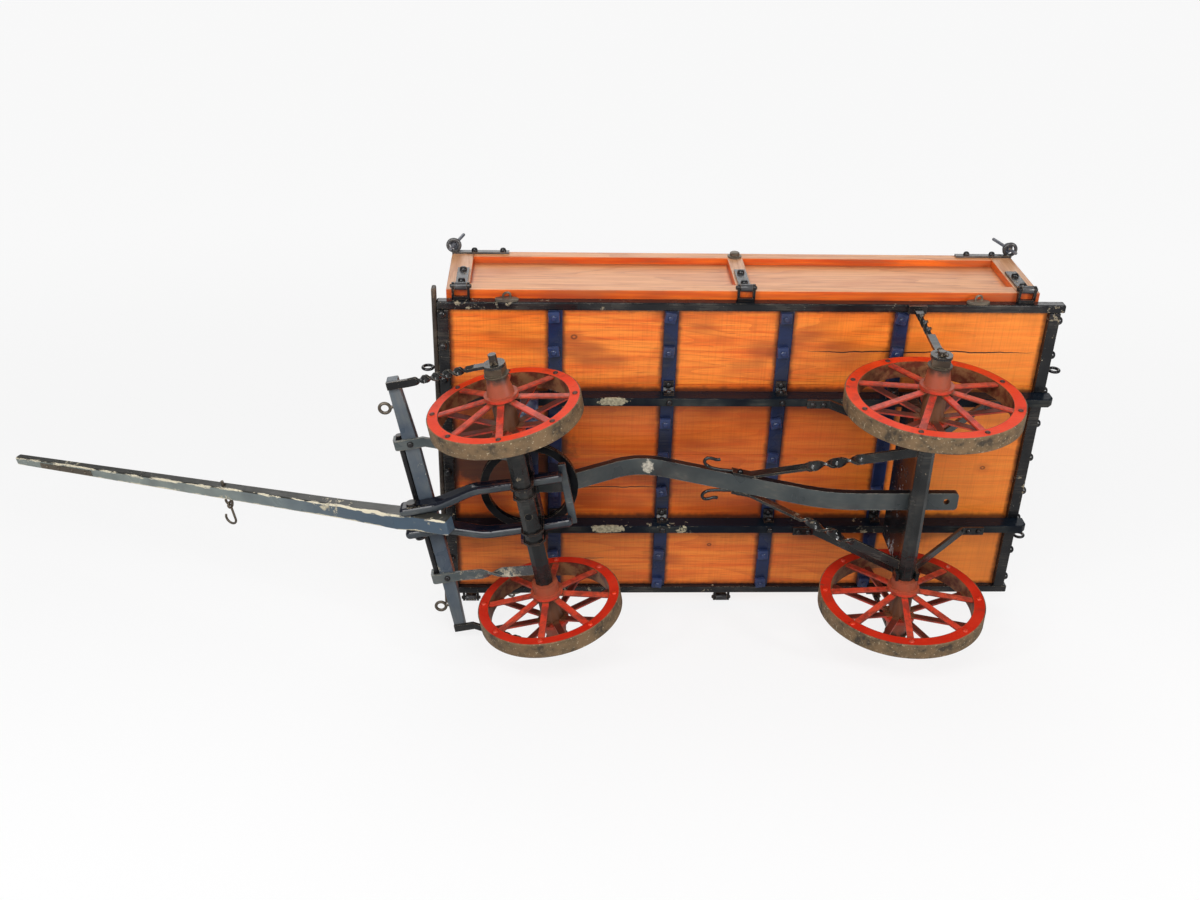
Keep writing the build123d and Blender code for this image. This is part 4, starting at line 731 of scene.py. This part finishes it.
def side_pine(name, place, turn, upright_from=BEYOND_BOARDS, upright_middle=0.0, window=None):
    """Varnished pine joinery in its own frame, X along the board: outer faces pale, partly bleached and
    partly painted sheen; the rest orange.

    The grain stands upright from a distance out to the ends, and up to a distance from the middle. A window
    is the panel's opening, which has a dark seam round it, partly pooled varnish and partly painted shade,
    widest under the top rail.
    """
    finish, shader, spot = new_finish(name, place, turn, {'Coat Weight': 0.2, 'Coat Roughness': 0.25})
    x, y, z = axes_of(spot)
    from_middle = unsigned(x)
    stile = highest(reckon('GREATER_THAN', from_middle, upright_from),
                    reckon('LESS_THAN', from_middle, upright_middle))
    grain = put(spot.id_data, 'ShaderNodeMix', {0: stile, 4: vector_of(x, z, y), 5: vector_of(z, x, y)},
                data_type='VECTOR').outputs[1]
    figure = made_with(pine_figure, Grain=grain)
    edge = made_with(worn_edge, Spot=spot, Amount=0.5)["Bare"]
    # Outer faces are pale: partly bleached varnish, partly painted sheen.
    outer = eased(unsigned(way_faced(shader, turn)[Y]), 0.5, 0.85)
    orange = mixed(eased(figure["Streaks"], 0.3, 0.7), tone(236, 110, 24), tone(202, 70, 12))
    orange = mixed(eased(figure["Patches"], 0.42, 0.66, top=0.6), orange, tone(150, 46, 12))
    bleached_and_sheen = mixed(eased(figure["Streaks"], 0.3, 0.7), tone(234, 166, 108), tone(212, 136, 80))
    bleached_and_sheen = mixed(times(stile, 0.45), bleached_and_sheen, tone(182, 148, 120))
    colour = mixed(outer, orange, bleached_and_sheen)
    colour = mixed(eased(figure["Rings"], 0.6, 1.0, top=0.35), colour, tone(172, 96, 52))
    colour = mixed(eased(figure["Pores"], 0.56, 0.76, top=0.4), colour, tone(120, 66, 36))
    colour = mixed(eased(figure["Patches"], 0.5, 0.75, top=0.4), colour, tone(190, 106, 58))
    if window:
        low, high, near, far = window
        inside = lowest(minus(from_middle, near), minus(far, from_middle))
        inside = lowest(inside, minus(z, low))
        # A dark seam round the window, partly pooled varnish and partly painted shade, with a wider band of
        # painted shade under the top rail.
        seam_and_shade = highest(eased(inside, 2.2, 0.3, top=0.7), eased(z, high - 7.0, high - 0.5, top=0.75))
        colour = mixed(seam_and_shade, colour, tone(150, 62, 22))
    colour = mixed(times(edge, 0.7), colour, tone(110, 66, 40))
    relief = times_plus(figure["Pores"], 0.35, times(figure["Rings"], 0.3))
    dress(shader, colour, eased(figure["Pores"], 0.3, 0.8, 0.38, 0.55), relief, 0.4, 0.2)
    return finish


clad(["headboard"], side_pine("head_pine", (HEAD_X, 0, BED_TOP), (0, 0, -90), END_STILE_FROM), 0.5)
clad(["tailboard"], side_pine("tail_pine", (TAIL_X, 0, BED_TOP), (0, 0, 90), END_STILE_FROM), 0.5)

# Drop sides: framed boards hinged on the side rails, two bare panels each, orange varnish gone pale on the
# outer face, partly bleached and partly painted sheen. Black strap hinges are bolted over the stiles, latch
# straps with rings over the top corners.
pivot = {joint["name"]: Vector(joint["pos_m"]) / MM for joint in frame["joints"] if "pos_m" in joint}
SIDE_X = pivot["left_side_drop"].x
SIDE_FACE = edges("left_side_frame", Y)[1] - RAIL_Y
SIDE_STILE_FROM = 211.0
SIDE_MIDDLE = 6.25
PANEL_WINDOW = (13.1, 68.4, 6.35, 210.9)
HINGE_X = 217.2
HINGE_Y = pivot["left_side_drop"].y - RAIL_Y
HINGE_Z = pivot["left_side_drop"].z - BED_TOP
HINGE_PIN = 15.6
HINGE_PIN_RADIUS = 1.5
EAR_X = 5.9
EAR_THICKNESS = 2.0
KNUCKLE_RADIUS = 3.0
BASE_THICKNESS = 2.2
BASE_HEIGHT = 2.8
BASE_DROP = 1.6
STRAP_FACE = 8.4
STRAP_BOLTS_Z = {1: (34.5, 11.5), 0: (32.0, 11.0), -1: (29.0, 9.0)}
LATCH_FACE = 8.1
LATCH_Z = 76.0
LATCH_SCREWS_X = (210.5, 187.5, -212.5, -191.5)
MID_BOLT_Z = 71.5
MID_BOLT_STEM = 2.2


def seat_at(place, turn):
    """Where a piece's own frame sits, from its origin in millimetres and its turn in degrees."""
    return Matrix.Translation(Vector(place) * MM) @ Euler(radians_of(turn)).to_matrix().to_4x4()


strap_bolt = round_head(radius=2.9, height=3.0)
latch_screw = round_head(radius=2.5, height=3.0, sides=16)
mid_bolt = drum(half_length=5.6, half_width=5.6, height=1.2, sides=28)
step_in(0.5, 0.3)
step_in(1.2, 0)
bpy.ops.mesh.extrude_region_move(TRANSFORM_OT_translate={"value": (0, 0, MID_BOLT_STEM * MM)})
step_in(0.7, 0.5)
step_in(1.2, 0.25)
leave_edit(40)

along_hinge = (0, math.radians(90), 0)
bpy.ops.object.select_all(action='DESELECT')
bpy.ops.mesh.primitive_cylinder_add(vertices=20, radius=KNUCKLE_RADIUS * MM, depth=EAR_THICKNESS * MM,
                                    location=(EAR_X * MM, 0, 0), rotation=along_hinge)
knuckle = bpy.context.object
bpy.ops.object.transform_apply(location=True, rotation=True)
bpy.ops.object.mode_set(mode='EDIT')
pick(knuckle, lambda middle, normal: normal.y < -0.3 and middle.z < 0)
to_rail = (0, (KNUCKLE_RADIUS - HINGE_Y) * MM, 0)
bpy.ops.mesh.extrude_region_move(TRANSFORM_OT_translate={"value": to_rail})
bpy.ops.mesh.select_all(action='SELECT')
bpy.ops.mesh.duplicate_move(TRANSFORM_OT_translate={"value": (-2 * EAR_X * MM, 0, 0)})
bpy.ops.mesh.primitive_cube_add(size=1, location=Vector((0, BASE_THICKNESS / 2 - HINGE_Y, -BASE_DROP)) * MM,
                                scale=Vector((2 * EAR_X, BASE_THICKNESS, BASE_HEIGHT)) * MM)
bpy.ops.mesh.primitive_cylinder_add(vertices=16, radius=HINGE_PIN_RADIUS * MM, depth=HINGE_PIN * MM,
                                    rotation=along_hinge)
pick(knuckle, lambda middle, normal: abs(middle.x) > 0.48 * HINGE_PIN * MM and abs(normal.x) > 0.9)
step_in(0.5, 0.4)
leave_edit(40)

strap_iron = brushed_paint(
    "strap_iron", tone(38, 38, 40), tone(84, 84, 86), tone(150, 134, 112), wear=0.7, chips=0.35, gloss=0.16,
    dust=0.2)
pin_steel = brushed_paint("pin_steel", tone(82, 86, 98), tone(116, 118, 126), tone(150, 132, 112), wear=0.6)
for side, turn, front in (("left", (0, 0, 0), 1), ("right", (0, 0, 180), -1)):
    body = f"{side}_side"
    origin = (SIDE_X, RAIL_Y * front, BED_TOP)
    seat = seat_at(origin, turn)
    frame_pine = side_pine(f"{side}_frame_pine", origin, turn, SIDE_STILE_FROM, SIDE_MIDDLE)
    clad([f"{side}_side_frame"], frame_pine, 0.6)
    clad([f"{side}_side_panels"], side_pine(f"{side}_panel_pine", origin, turn, window=PANEL_WINDOW))
    clad([f"{side}_side_irons"], strap_iron, 0.35)
    clad([f"{side}_hinge_lugs"], strap_iron)
    clad([f"{side}_front_latch_pin", f"{side}_rear_latch_pin"], pin_steel)
    hinges = [((end * HINGE_X, HINGE_Y, HINGE_Z), (0, 0, 1), 180) for end in (1, 0, -1)]
    knuckles = set_out(knuckle, f"{side}_hinge_knuckles", hinges, "bed", seat=seat)
    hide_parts(f"{side}_hinge_lugs")
    bolts = [((front * end * HINGE_X, STRAP_FACE, z), (0, 1, 0), 40 * z)
             for end, heights in STRAP_BOLTS_Z.items() for z in heights]
    set_out(strap_bolt, f"{side}_strap_bolts", bolts, body, seat=seat)
    screws = [((front * x, LATCH_FACE, LATCH_Z), (0, 1, 0), 3 * x) for x in LATCH_SCREWS_X]
    set_out(latch_screw, f"{side}_latch_screws", screws, body, seat=seat)
    bolt = [((0, SIDE_FACE, MID_BOLT_Z), (0, 1, 0), 20)]
    set_out(mid_bolt, f"{side}_mid_bolt", bolt, body, steel, seat)

# Rear carriage: an eight-sided axle under a bolster on edge, braced to the sills by bent flat irons. All of
# it is black paint over iron and wood, greasy at the arms, where nuts and split pins keep the wheels on.
REAR_AXLE_X, _, REAR_AXLE_Z = pivot["rear_left_roll"]
REAR_PIN_Y = 130.3
STRUT_FOOT_Z = 124.8
STRUT_BOLTS = (67.0, 75.5)
ARM_GREASE = 110.0
SPLIT_PIN = ((-2.4, -6.4), (-0.8, -3.2), (-0.7, 0), (-0.7, 3.6), (-2.2, 5.4), (0, 7.4), (2.2, 5.4),
             (0.7, 3.6), (0.7, 0), (0.8, -3.2), (1.6, -5.6))
SPLIT_PIN_WIRE = 0.7
AXLE_BARE = tone(138, 124, 102)


def bent_wire(name, points, radius, body, finish, seat=Matrix.Identity(4)):
    """A round wire bent along points in millimetres."""
    line = bpy.data.curves.new(name, 'CURVE')
    line.dimensions = '3D'
    line.bevel_depth = radius * MM
    line.bevel_resolution = 3
    line.resolution_u = 6
    line.use_fill_caps = True
    run = line.splines.new('NURBS')
    run.points.add(len(points) - 1)
    for knot, point in zip(run.points, points):
        knot.co = (*(seat @ (Vector(point) * MM)), 1)
    run.order_u = 3
    run.use_endpoint_u = True
    wire = bpy.data.objects.new(name, line)
    bpy.context.scene.collection.objects.link(wire)
    bpy.ops.object.select_all(action='DESELECT')
    wire.select_set(True)
    bpy.context.view_layer.objects.active = wire
    bpy.ops.object.convert(target='MESH')
    bpy.ops.object.shade_smooth()
    fit(bpy.context.view_layer.objects.active, name, body, finish)


axle_paint = brushed_paint(
    "axle_paint", tone(18, 19, 21), tone(40, 42, 42), AXLE_BARE, chips=0.22, gloss=0.12, dust=0.15)
rear_axle_paint = brushed_paint(
    "rear_axle_paint", tone(20, 21, 22), tone(46, 48, 48), AXLE_BARE, (REAR_AXLE_X, 0, 0), chips=0.2,
    gloss=0.12, dust=0.2, greasy_past=ARM_GREASE)
# The rear bolster's pale scuffs are partly worn paint and partly painted highlights.
scuffs_and_highlights_black = brushed_paint(
    "scuffs_and_highlights_black", BLACK, tone(40, 42, 46), tone(186, 190, 194), wear=0.7, chips=0.5, gloss=0.1, dust=0.1,
    shine=0.15)
grease = brushed_paint(
    "greasy_iron", tone(44, 38, 32), tone(84, 70, 54), tone(150, 134, 108), wear=0.6, chips=0.35,
    gloss=0.34)
clad(["rear_struts"], axle_paint, 0.4)
clad(["rear_stays"], axle_paint)
clad(["rear_axle"], rear_axle_paint, 0.6)
clad(["rear_bolster"], scuffs_and_highlights_black, 0.8)
clad(["rear_axle_nuts"], grease, 0.8)
strut_bolts = [((REAR_AXLE_X + end * x, sill_y, STRUT_FOOT_Z), (0, 0, -1), 9 * x)
               for end in (1, -1) for sill_y in (LEFT_SILL_Y, RIGHT_SILL_Y) for x in STRUT_BOLTS]
set_out(cleat_screw, "strut_bolts", strut_bolts, "bed")
for side, arm in ((1, "left"), (-1, "right")):
    line = [(REAR_AXLE_X + x, side * REAR_PIN_Y, REAR_AXLE_Z + z) for x, z in SPLIT_PIN]
    bent_wire(f"rear_{arm}_split_pin", line, SPLIT_PIN_WIRE, "bed", grease)

# Reach: one cranked bar of painted wood from the kingpin to the rear axle, slate grey on its flat faces,
# worn pale along its edges. Twisted flat braces run back from it, their front ends curled into hooks.
BRACE_TAB_X = edges("reach_braces", X)[1]
BRACE_TAB_Z = 103.6
BRACE_BOLT = (-6.0, 9.8, -2.4)
CURL = ((0, 9.0, 0), (8, 9.2, 1), (15, 10.0, 2), (20, 12.0, 3), (22.5, 15.5, 3), (20.5, 19, 3),
        (16, 18.6, 3), (12.5, 17, 3), (9.5, 17.6, 3))
CURL_WIRE = 1.3
REACH_SCARS = (((-123.5, 0.0, 126.0), (5.0, 6.0, 4.0)), ((-230.0, 2.0, 92.0), (2.0, 2.0, 4.0)))

reach_paint = brushed_paint(
    "reach_paint", tone(56, 62, 64), tone(74, 79, 78), tone(206, 200, 184), wear=0.62, chips=0.2,
    gloss=0.26, dust=0.3, scars=REACH_SCARS, sides=BLACK)
clad(["reach"], reach_paint, 0.7)
clad(["reach_braces"], axle_paint)
for side, name in ((1, "left_brace_curl"), (-1, "right_brace_curl")):
    line = [(BRACE_TAB_X + x, side * y, BRACE_TAB_Z + z) for x, y, z in CURL]
    bent_wire(name, line, CURL_WIRE, "bed", axle_paint)
x, y, z = BRACE_BOLT
brace_bolts = [((BRACE_TAB_X + x, side * y, BRACE_TAB_Z + z), (0, side, 0), 0) for side in (1, -1)]
set_out(cleat_screw, "brace_bolts", brace_bolts, "bed")

# Turntable: a notched bolster hung under the sills, navy like the cross members, with two flat iron rings
# below it that slide on each other, and the kingpin through them all. Rings and pin are dull black.
bolster_black = brushed_paint(
    "bolster_black", BLACK, tone(26, 27, 30), tone(150, 140, 120), chips=0.2, gloss=0.08, dust=0.1,
    shine=0.12)
clad(["front_bolster"], navy_paint, 0.8)
clad(["upper_ring", "lower_ring", "kingpin"], bolster_black)

# Fore-carriage: the front axle, two cranked futchells clipped to it, and the splinter bar across their
# noses, which pulls on the axle through straps and twisted stays. Slate and black paint on wood and iron.
STEER = -10.8
FRONT_AXLE_Z = pivot["front_left_roll"].z
FRONT_PIN_Y = 128.6
SPLINTER_X = 78.0
SPLINTER_FACE_Z = 78.5
STRAP_Y = 62.0
fore_place = (pivot["steer"].x, 0, 0)
fore_turn = (0, 0, STEER)
fore_seat = seat_at(fore_place, fore_turn)

front_axle_paint = brushed_paint(
    "front_axle_paint", tone(20, 21, 22), tone(46, 47, 46), AXLE_BARE, fore_place, fore_turn, wear=0.3,
    chips=0.22, gloss=0.12, greasy_past=ARM_GREASE)
futchell_paint = brushed_paint(
    "futchell_paint", tone(44, 51, 58), tone(74, 80, 82), tone(160, 152, 132), fore_place, fore_turn,
    wear=0.75, chips=0.25, gloss=0.08, dust=0.2, shine=0.7, sides=tone(13, 17, 30))
slate = brushed_paint(
    "slate_paint", tone(66, 77, 90), tone(92, 100, 106), tone(206, 198, 178), fore_place,
    (0, 0, STEER + 90), wear=0.7, gloss=0.26, dust=0.35)
strap_slate = brushed_paint(
    "strap_slate", tone(66, 74, 76), tone(96, 102, 102), tone(170, 160, 140), fore_place, fore_turn,
    wear=0.7, gloss=0.2, dust=0.3)
clad(["front_axle"], front_axle_paint, 0.6)
clad(["left_futchell", "right_futchell"], futchell_paint, 3.0, 5)
clad(["sway_bar"], futchell_paint, 0.8)
clad(["splinter_bar"], slate, 0.7)
clad(["splinter_straps"], strap_slate)
clad(["lower_bolster"], black_paint, 0.8)
clad(["axle_clips", "pole_pin", "splinter_rod"], black_paint)
clad(["front_stays"], axle_paint)
clad(["front_axle_nuts"], grease, 0.8)
clad(["trace_eyes"], steel)
for side, arm in ((1, "left"), (-1, "right")):
    line = [(x, side * FRONT_PIN_Y, FRONT_AXLE_Z + z) for x, z in SPLIT_PIN]
    bent_wire(f"front_{arm}_split_pin", line, SPLIT_PIN_WIRE, "fore_carriage", grease,
              fore_seat)
strap_bolts = [((SPLINTER_X, side * STRAP_Y, SPLINTER_FACE_Z), (0, 0, -1), 0) for side in (1, -1)]
set_out(cleat_screw, "splinter_strap_bolts", strap_bolts, "fore_carriage", seat=fore_seat)

# Pole: a tapered wooden pole hinged between the futchells, slate grey near them, its paint rubbed to cream
# along the lower corners. A riveted wearing plate lies under its tip, and a hook hangs from an eye bolt.
POLE_RAISE = -29.0
POLE_HALF_WIDTH = 6.5
POLE_NARROWING = 0.0055
POLE_HALF_DEPTH = 5.57
POLE_THINNING = 0.00457
GREY_FROM = 240.0
GREY_AT = 10.0
PLATE_RIVETS = (360.0, 377.0, 394.0, 410.0)
PLATE_FROM = 352.0
PLATE_FACE = -5.06
PLATE_RISE = 0.0046
pole_turn = (0, POLE_RAISE, STEER)
pole_seat = seat_at(pivot["pole_lift"], pole_turn)

pole_corners = (POLE_HALF_WIDTH, POLE_NARROWING, POLE_HALF_DEPTH, POLE_THINNING, tone(232, 222, 196))
# The pole's darker side faces are painted shade.
pole_paint = brushed_paint(
    "pole_paint", tone(148, 156, 150), tone(120, 128, 126), tone(214, 204, 178), pivot["pole_lift"],
    pole_turn, wear=0.95, chips=0.36, gloss=0.26, dust=0.2, sides=tone(54, 54, 50),
    stain=(GREY_FROM, GREY_AT, tone(72, 90, 106)), corners=pole_corners)
clad(["pole"], pole_paint, 1.5, 3)
clad(["pole_irons", "pole_hook"], steel)
plate_rivet = round_head(radius=1.5, height=1.0, sides=12)
rivets = [((x, 0, PLATE_FACE + PLATE_RISE * (x - PLATE_FROM)), (0, 0, -1), x) for x in PLATE_RIVETS]
set_out(plate_rivet, "pole_plate_rivets", rivets, "pole", steel, pole_seat)

# Wheels: iron rims with two rows of flat spokes riveted to them, painted vermilion. The treads are worn to
# brown metal, the insides of the rims are dark with dirt, and the hubs are pinkish and greasy.
FRONT_RIM = 8.5
REAR_RIM = 9.5
WHEELS = {"front_left": (STEER, FRONT_RIM, 1, 2.0), "front_right": (STEER, FRONT_RIM, -1, -15.4),
          "rear_left": (0.0, REAR_RIM, 1, 23.6), "rear_right": (0.0, REAR_RIM, -1, -16.2)}
RIM_HALF = 6.5
SPOKES = 8
SPOKE_ROOT = 7.0
ROW_AT_ROOT = 12.5
ROW_AT_RIM = 5.9
HUB_ENDS = 14.5
HUB_WHOLE = 12.0
VERMILION = tone(222, 52, 14)
# Reds for the left and right wheels; the right wheels' darker reds are painted shade.
WHEEL_REDS_AND_SHADE = {1: (VERMILION, tone(232, 68, 26)), -1: (tone(194, 36, 18), tone(208, 52, 30))}


def from_axle(spot):
    """How far a spot lies from the axle, which runs along Y."""
    x, _, z = axes_of(spot)
    return length_of(vector_of(x, z))


def wheel_paint(name, centre, turn, rim_depth, reds):
    """Vermilion paint that gives way to brown metal on the tread and to dirt inside the rim."""
    finish, shader, spot = new_finish(name, centre, (0, 0, turn), {'Specular IOR Level': 0.18})
    tread = centre.z
    rim_inside = tread - rim_depth
    out = from_axle(spot)
    marks = made_with(brush_marks, Spot=spot)
    edge = made_with(worn_edge, Spot=spot, Amount=0.45)["Bare"]
    flake = made_with(chipped, Spot=spot, Amount=0.2)["Bare"]
    dirt = cloudy(spot, 0.09, 5, 0.65)
    fine = cloudy(spot, 0.6)
    colour = mixed(marks["Tone"], *reds)
    colour = mixed(eased(dirt, 0.5, 0.72, top=0.5), colour, tone(150, 52, 36))
    colour = mixed(times(highest(edge, flake), 0.8), colour, tone(112, 60, 44))
    metal = mixed(eased(dirt, 0.35, 0.65), tone(128, 104, 77), tone(96, 82, 64))
    metal = mixed(eased(fine, 0.6, 0.7, top=0.7), metal, tone(196, 180, 150))
    metal = mixed(eased(dirt, 0.54, 0.64, top=0.7), metal, tone(56, 52, 50))
    on_tread = eased(out, tread - 1.2, tread - 0.5)
    colour = mixed(on_tread, colour, metal)
    inside = eased(out, rim_inside + 0.5, rim_inside + 0.1, top=0.9)
    at_rim = eased(out, rim_inside - 1.2, rim_inside - 0.6)
    grime = mixed(eased(dirt, 0.38, 0.62), tone(62, 42, 32), tone(126, 96, 64))
    colour = mixed(times(inside, at_rim), colour, grime)
    rough = times_plus(dirt, 0.15, times_plus(on_tread, 0.2, 0.36))
    dress(shader, colour, rough, times_plus(fine, 0.3, marks["Height"]), 0.5, 0.4)
    return finish


def hub_paint(name, centre, turn, rim_depth):
    """Vermilion spokes running into a hub that is worn pinkish and greasy, and dark between the rows with
    grime and painted shade.
    """
    finish, shader, spot = new_finish(name, centre, (0, 0, turn))
    out = from_axle(spot)
    sideways = unsigned(axes_of(spot)[Y])
    marks = made_with(brush_marks, Spot=spot)
    edge = made_with(worn_edge, Spot=spot, Amount=0.5)["Bare"]
    dirt = cloudy(spot, 0.12, 5, 0.65)
    colour = mixed(marks["Tone"], tone(204, 54, 32), tone(206, 80, 54))
    colour = mixed(eased(dirt, 0.42, 0.62, top=0.75), colour, tone(122, 50, 38))
    colour = mixed(times(edge, 0.7), colour, tone(146, 96, 76))
    row = put(spot.id_data, 'ShaderNodeMapRange',
              {'Value': out, 'From Min': SPOKE_ROOT, 'From Max': centre.z - rim_depth,
               'To Min': ROW_AT_ROOT, 'To Max': ROW_AT_RIM}).outputs[0]
    # Between the two rows the spokes darken: partly grime, partly painted shade.
    between_rows_grime_and_shade = eased(minus(row, sideways), 0.9, 1.7, top=0.85)
    colour = mixed(between_rows_grime_and_shade, colour, tone(74, 34, 26))
    on_hub = eased(out, HUB_ENDS, HUB_WHOLE)
    nose = times(on_hub, eased(sideways, 13.0, 16.5, top=0.85))
    colour = mixed(nose, colour, tone(152, 80, 54))
    between = times(on_hub, eased(sideways, 12.6, 11.6, top=0.75))
    colour = mixed(between, colour, tone(112, 76, 50))
    greasy = times(on_hub, eased(sideways, 22.0, 29.0))
    colour = mixed(times(greasy, eased(dirt, 0.3, 0.6)), colour, tone(62, 46, 36))
    dress(shader, colour, times_plus(dirt, 0.2, 0.32), marks["Height"], 0.5, 0.4)
    return finish


rim_rivet = round_head(radius=2.0, height=1.2, sides=14)
rivet_dark = brushed_paint(
    "rivet_dark", tone(58, 34, 28), tone(92, 48, 36), tone(130, 84, 60), wear=0.3, chips=0.2, gloss=0.4)
rivet_red = brushed_paint("rivet_red", VERMILION, tone(176, 66, 48), tone(196, 130, 104), gloss=0.4)
for wheel, (turn, rim_depth, outward, rolled) in WHEELS.items():
    centre = pivot[f"{wheel}_roll"]
    wheel_seat = seat_at(centre, (0, 0, turn))
    rim_paint = wheel_paint(f"{wheel}_rim_paint", centre, turn, rim_depth, WHEEL_REDS_AND_SHADE[outward])
    clad([f"{wheel}_rim"], rim_paint)
    clad([f"{wheel}_hub_and_spokes"], hub_paint(f"{wheel}_hub_paint", centre, turn, rim_depth))
    circle = centre.z - rim_depth / 2
    rows = ((outward, rolled, rivet_dark, "outer"), (-outward, rolled + 180 / SPOKES, rivet_red, "inner"))
    for face, start, finish, row in rows:
        angles = [math.radians(start + spoke * 360 / SPOKES) for spoke in range(SPOKES)]
        rivets = [((circle * math.cos(angle), face * RIM_HALF, circle * math.sin(angle)), (0, face, 0), 0)
                  for angle in angles]
        set_out(rim_rivet, f"{wheel}_{row}_rivets", rivets, f"{wheel}_wheel", finish, wheel_seat)

for model in (end_bolt, eye_plate, cross_nut, cleat_screw, strap_bolt, latch_screw, mid_bolt, knuckle,
              plate_rivet, rim_rivet):
    bpy.data.objects.remove(model)
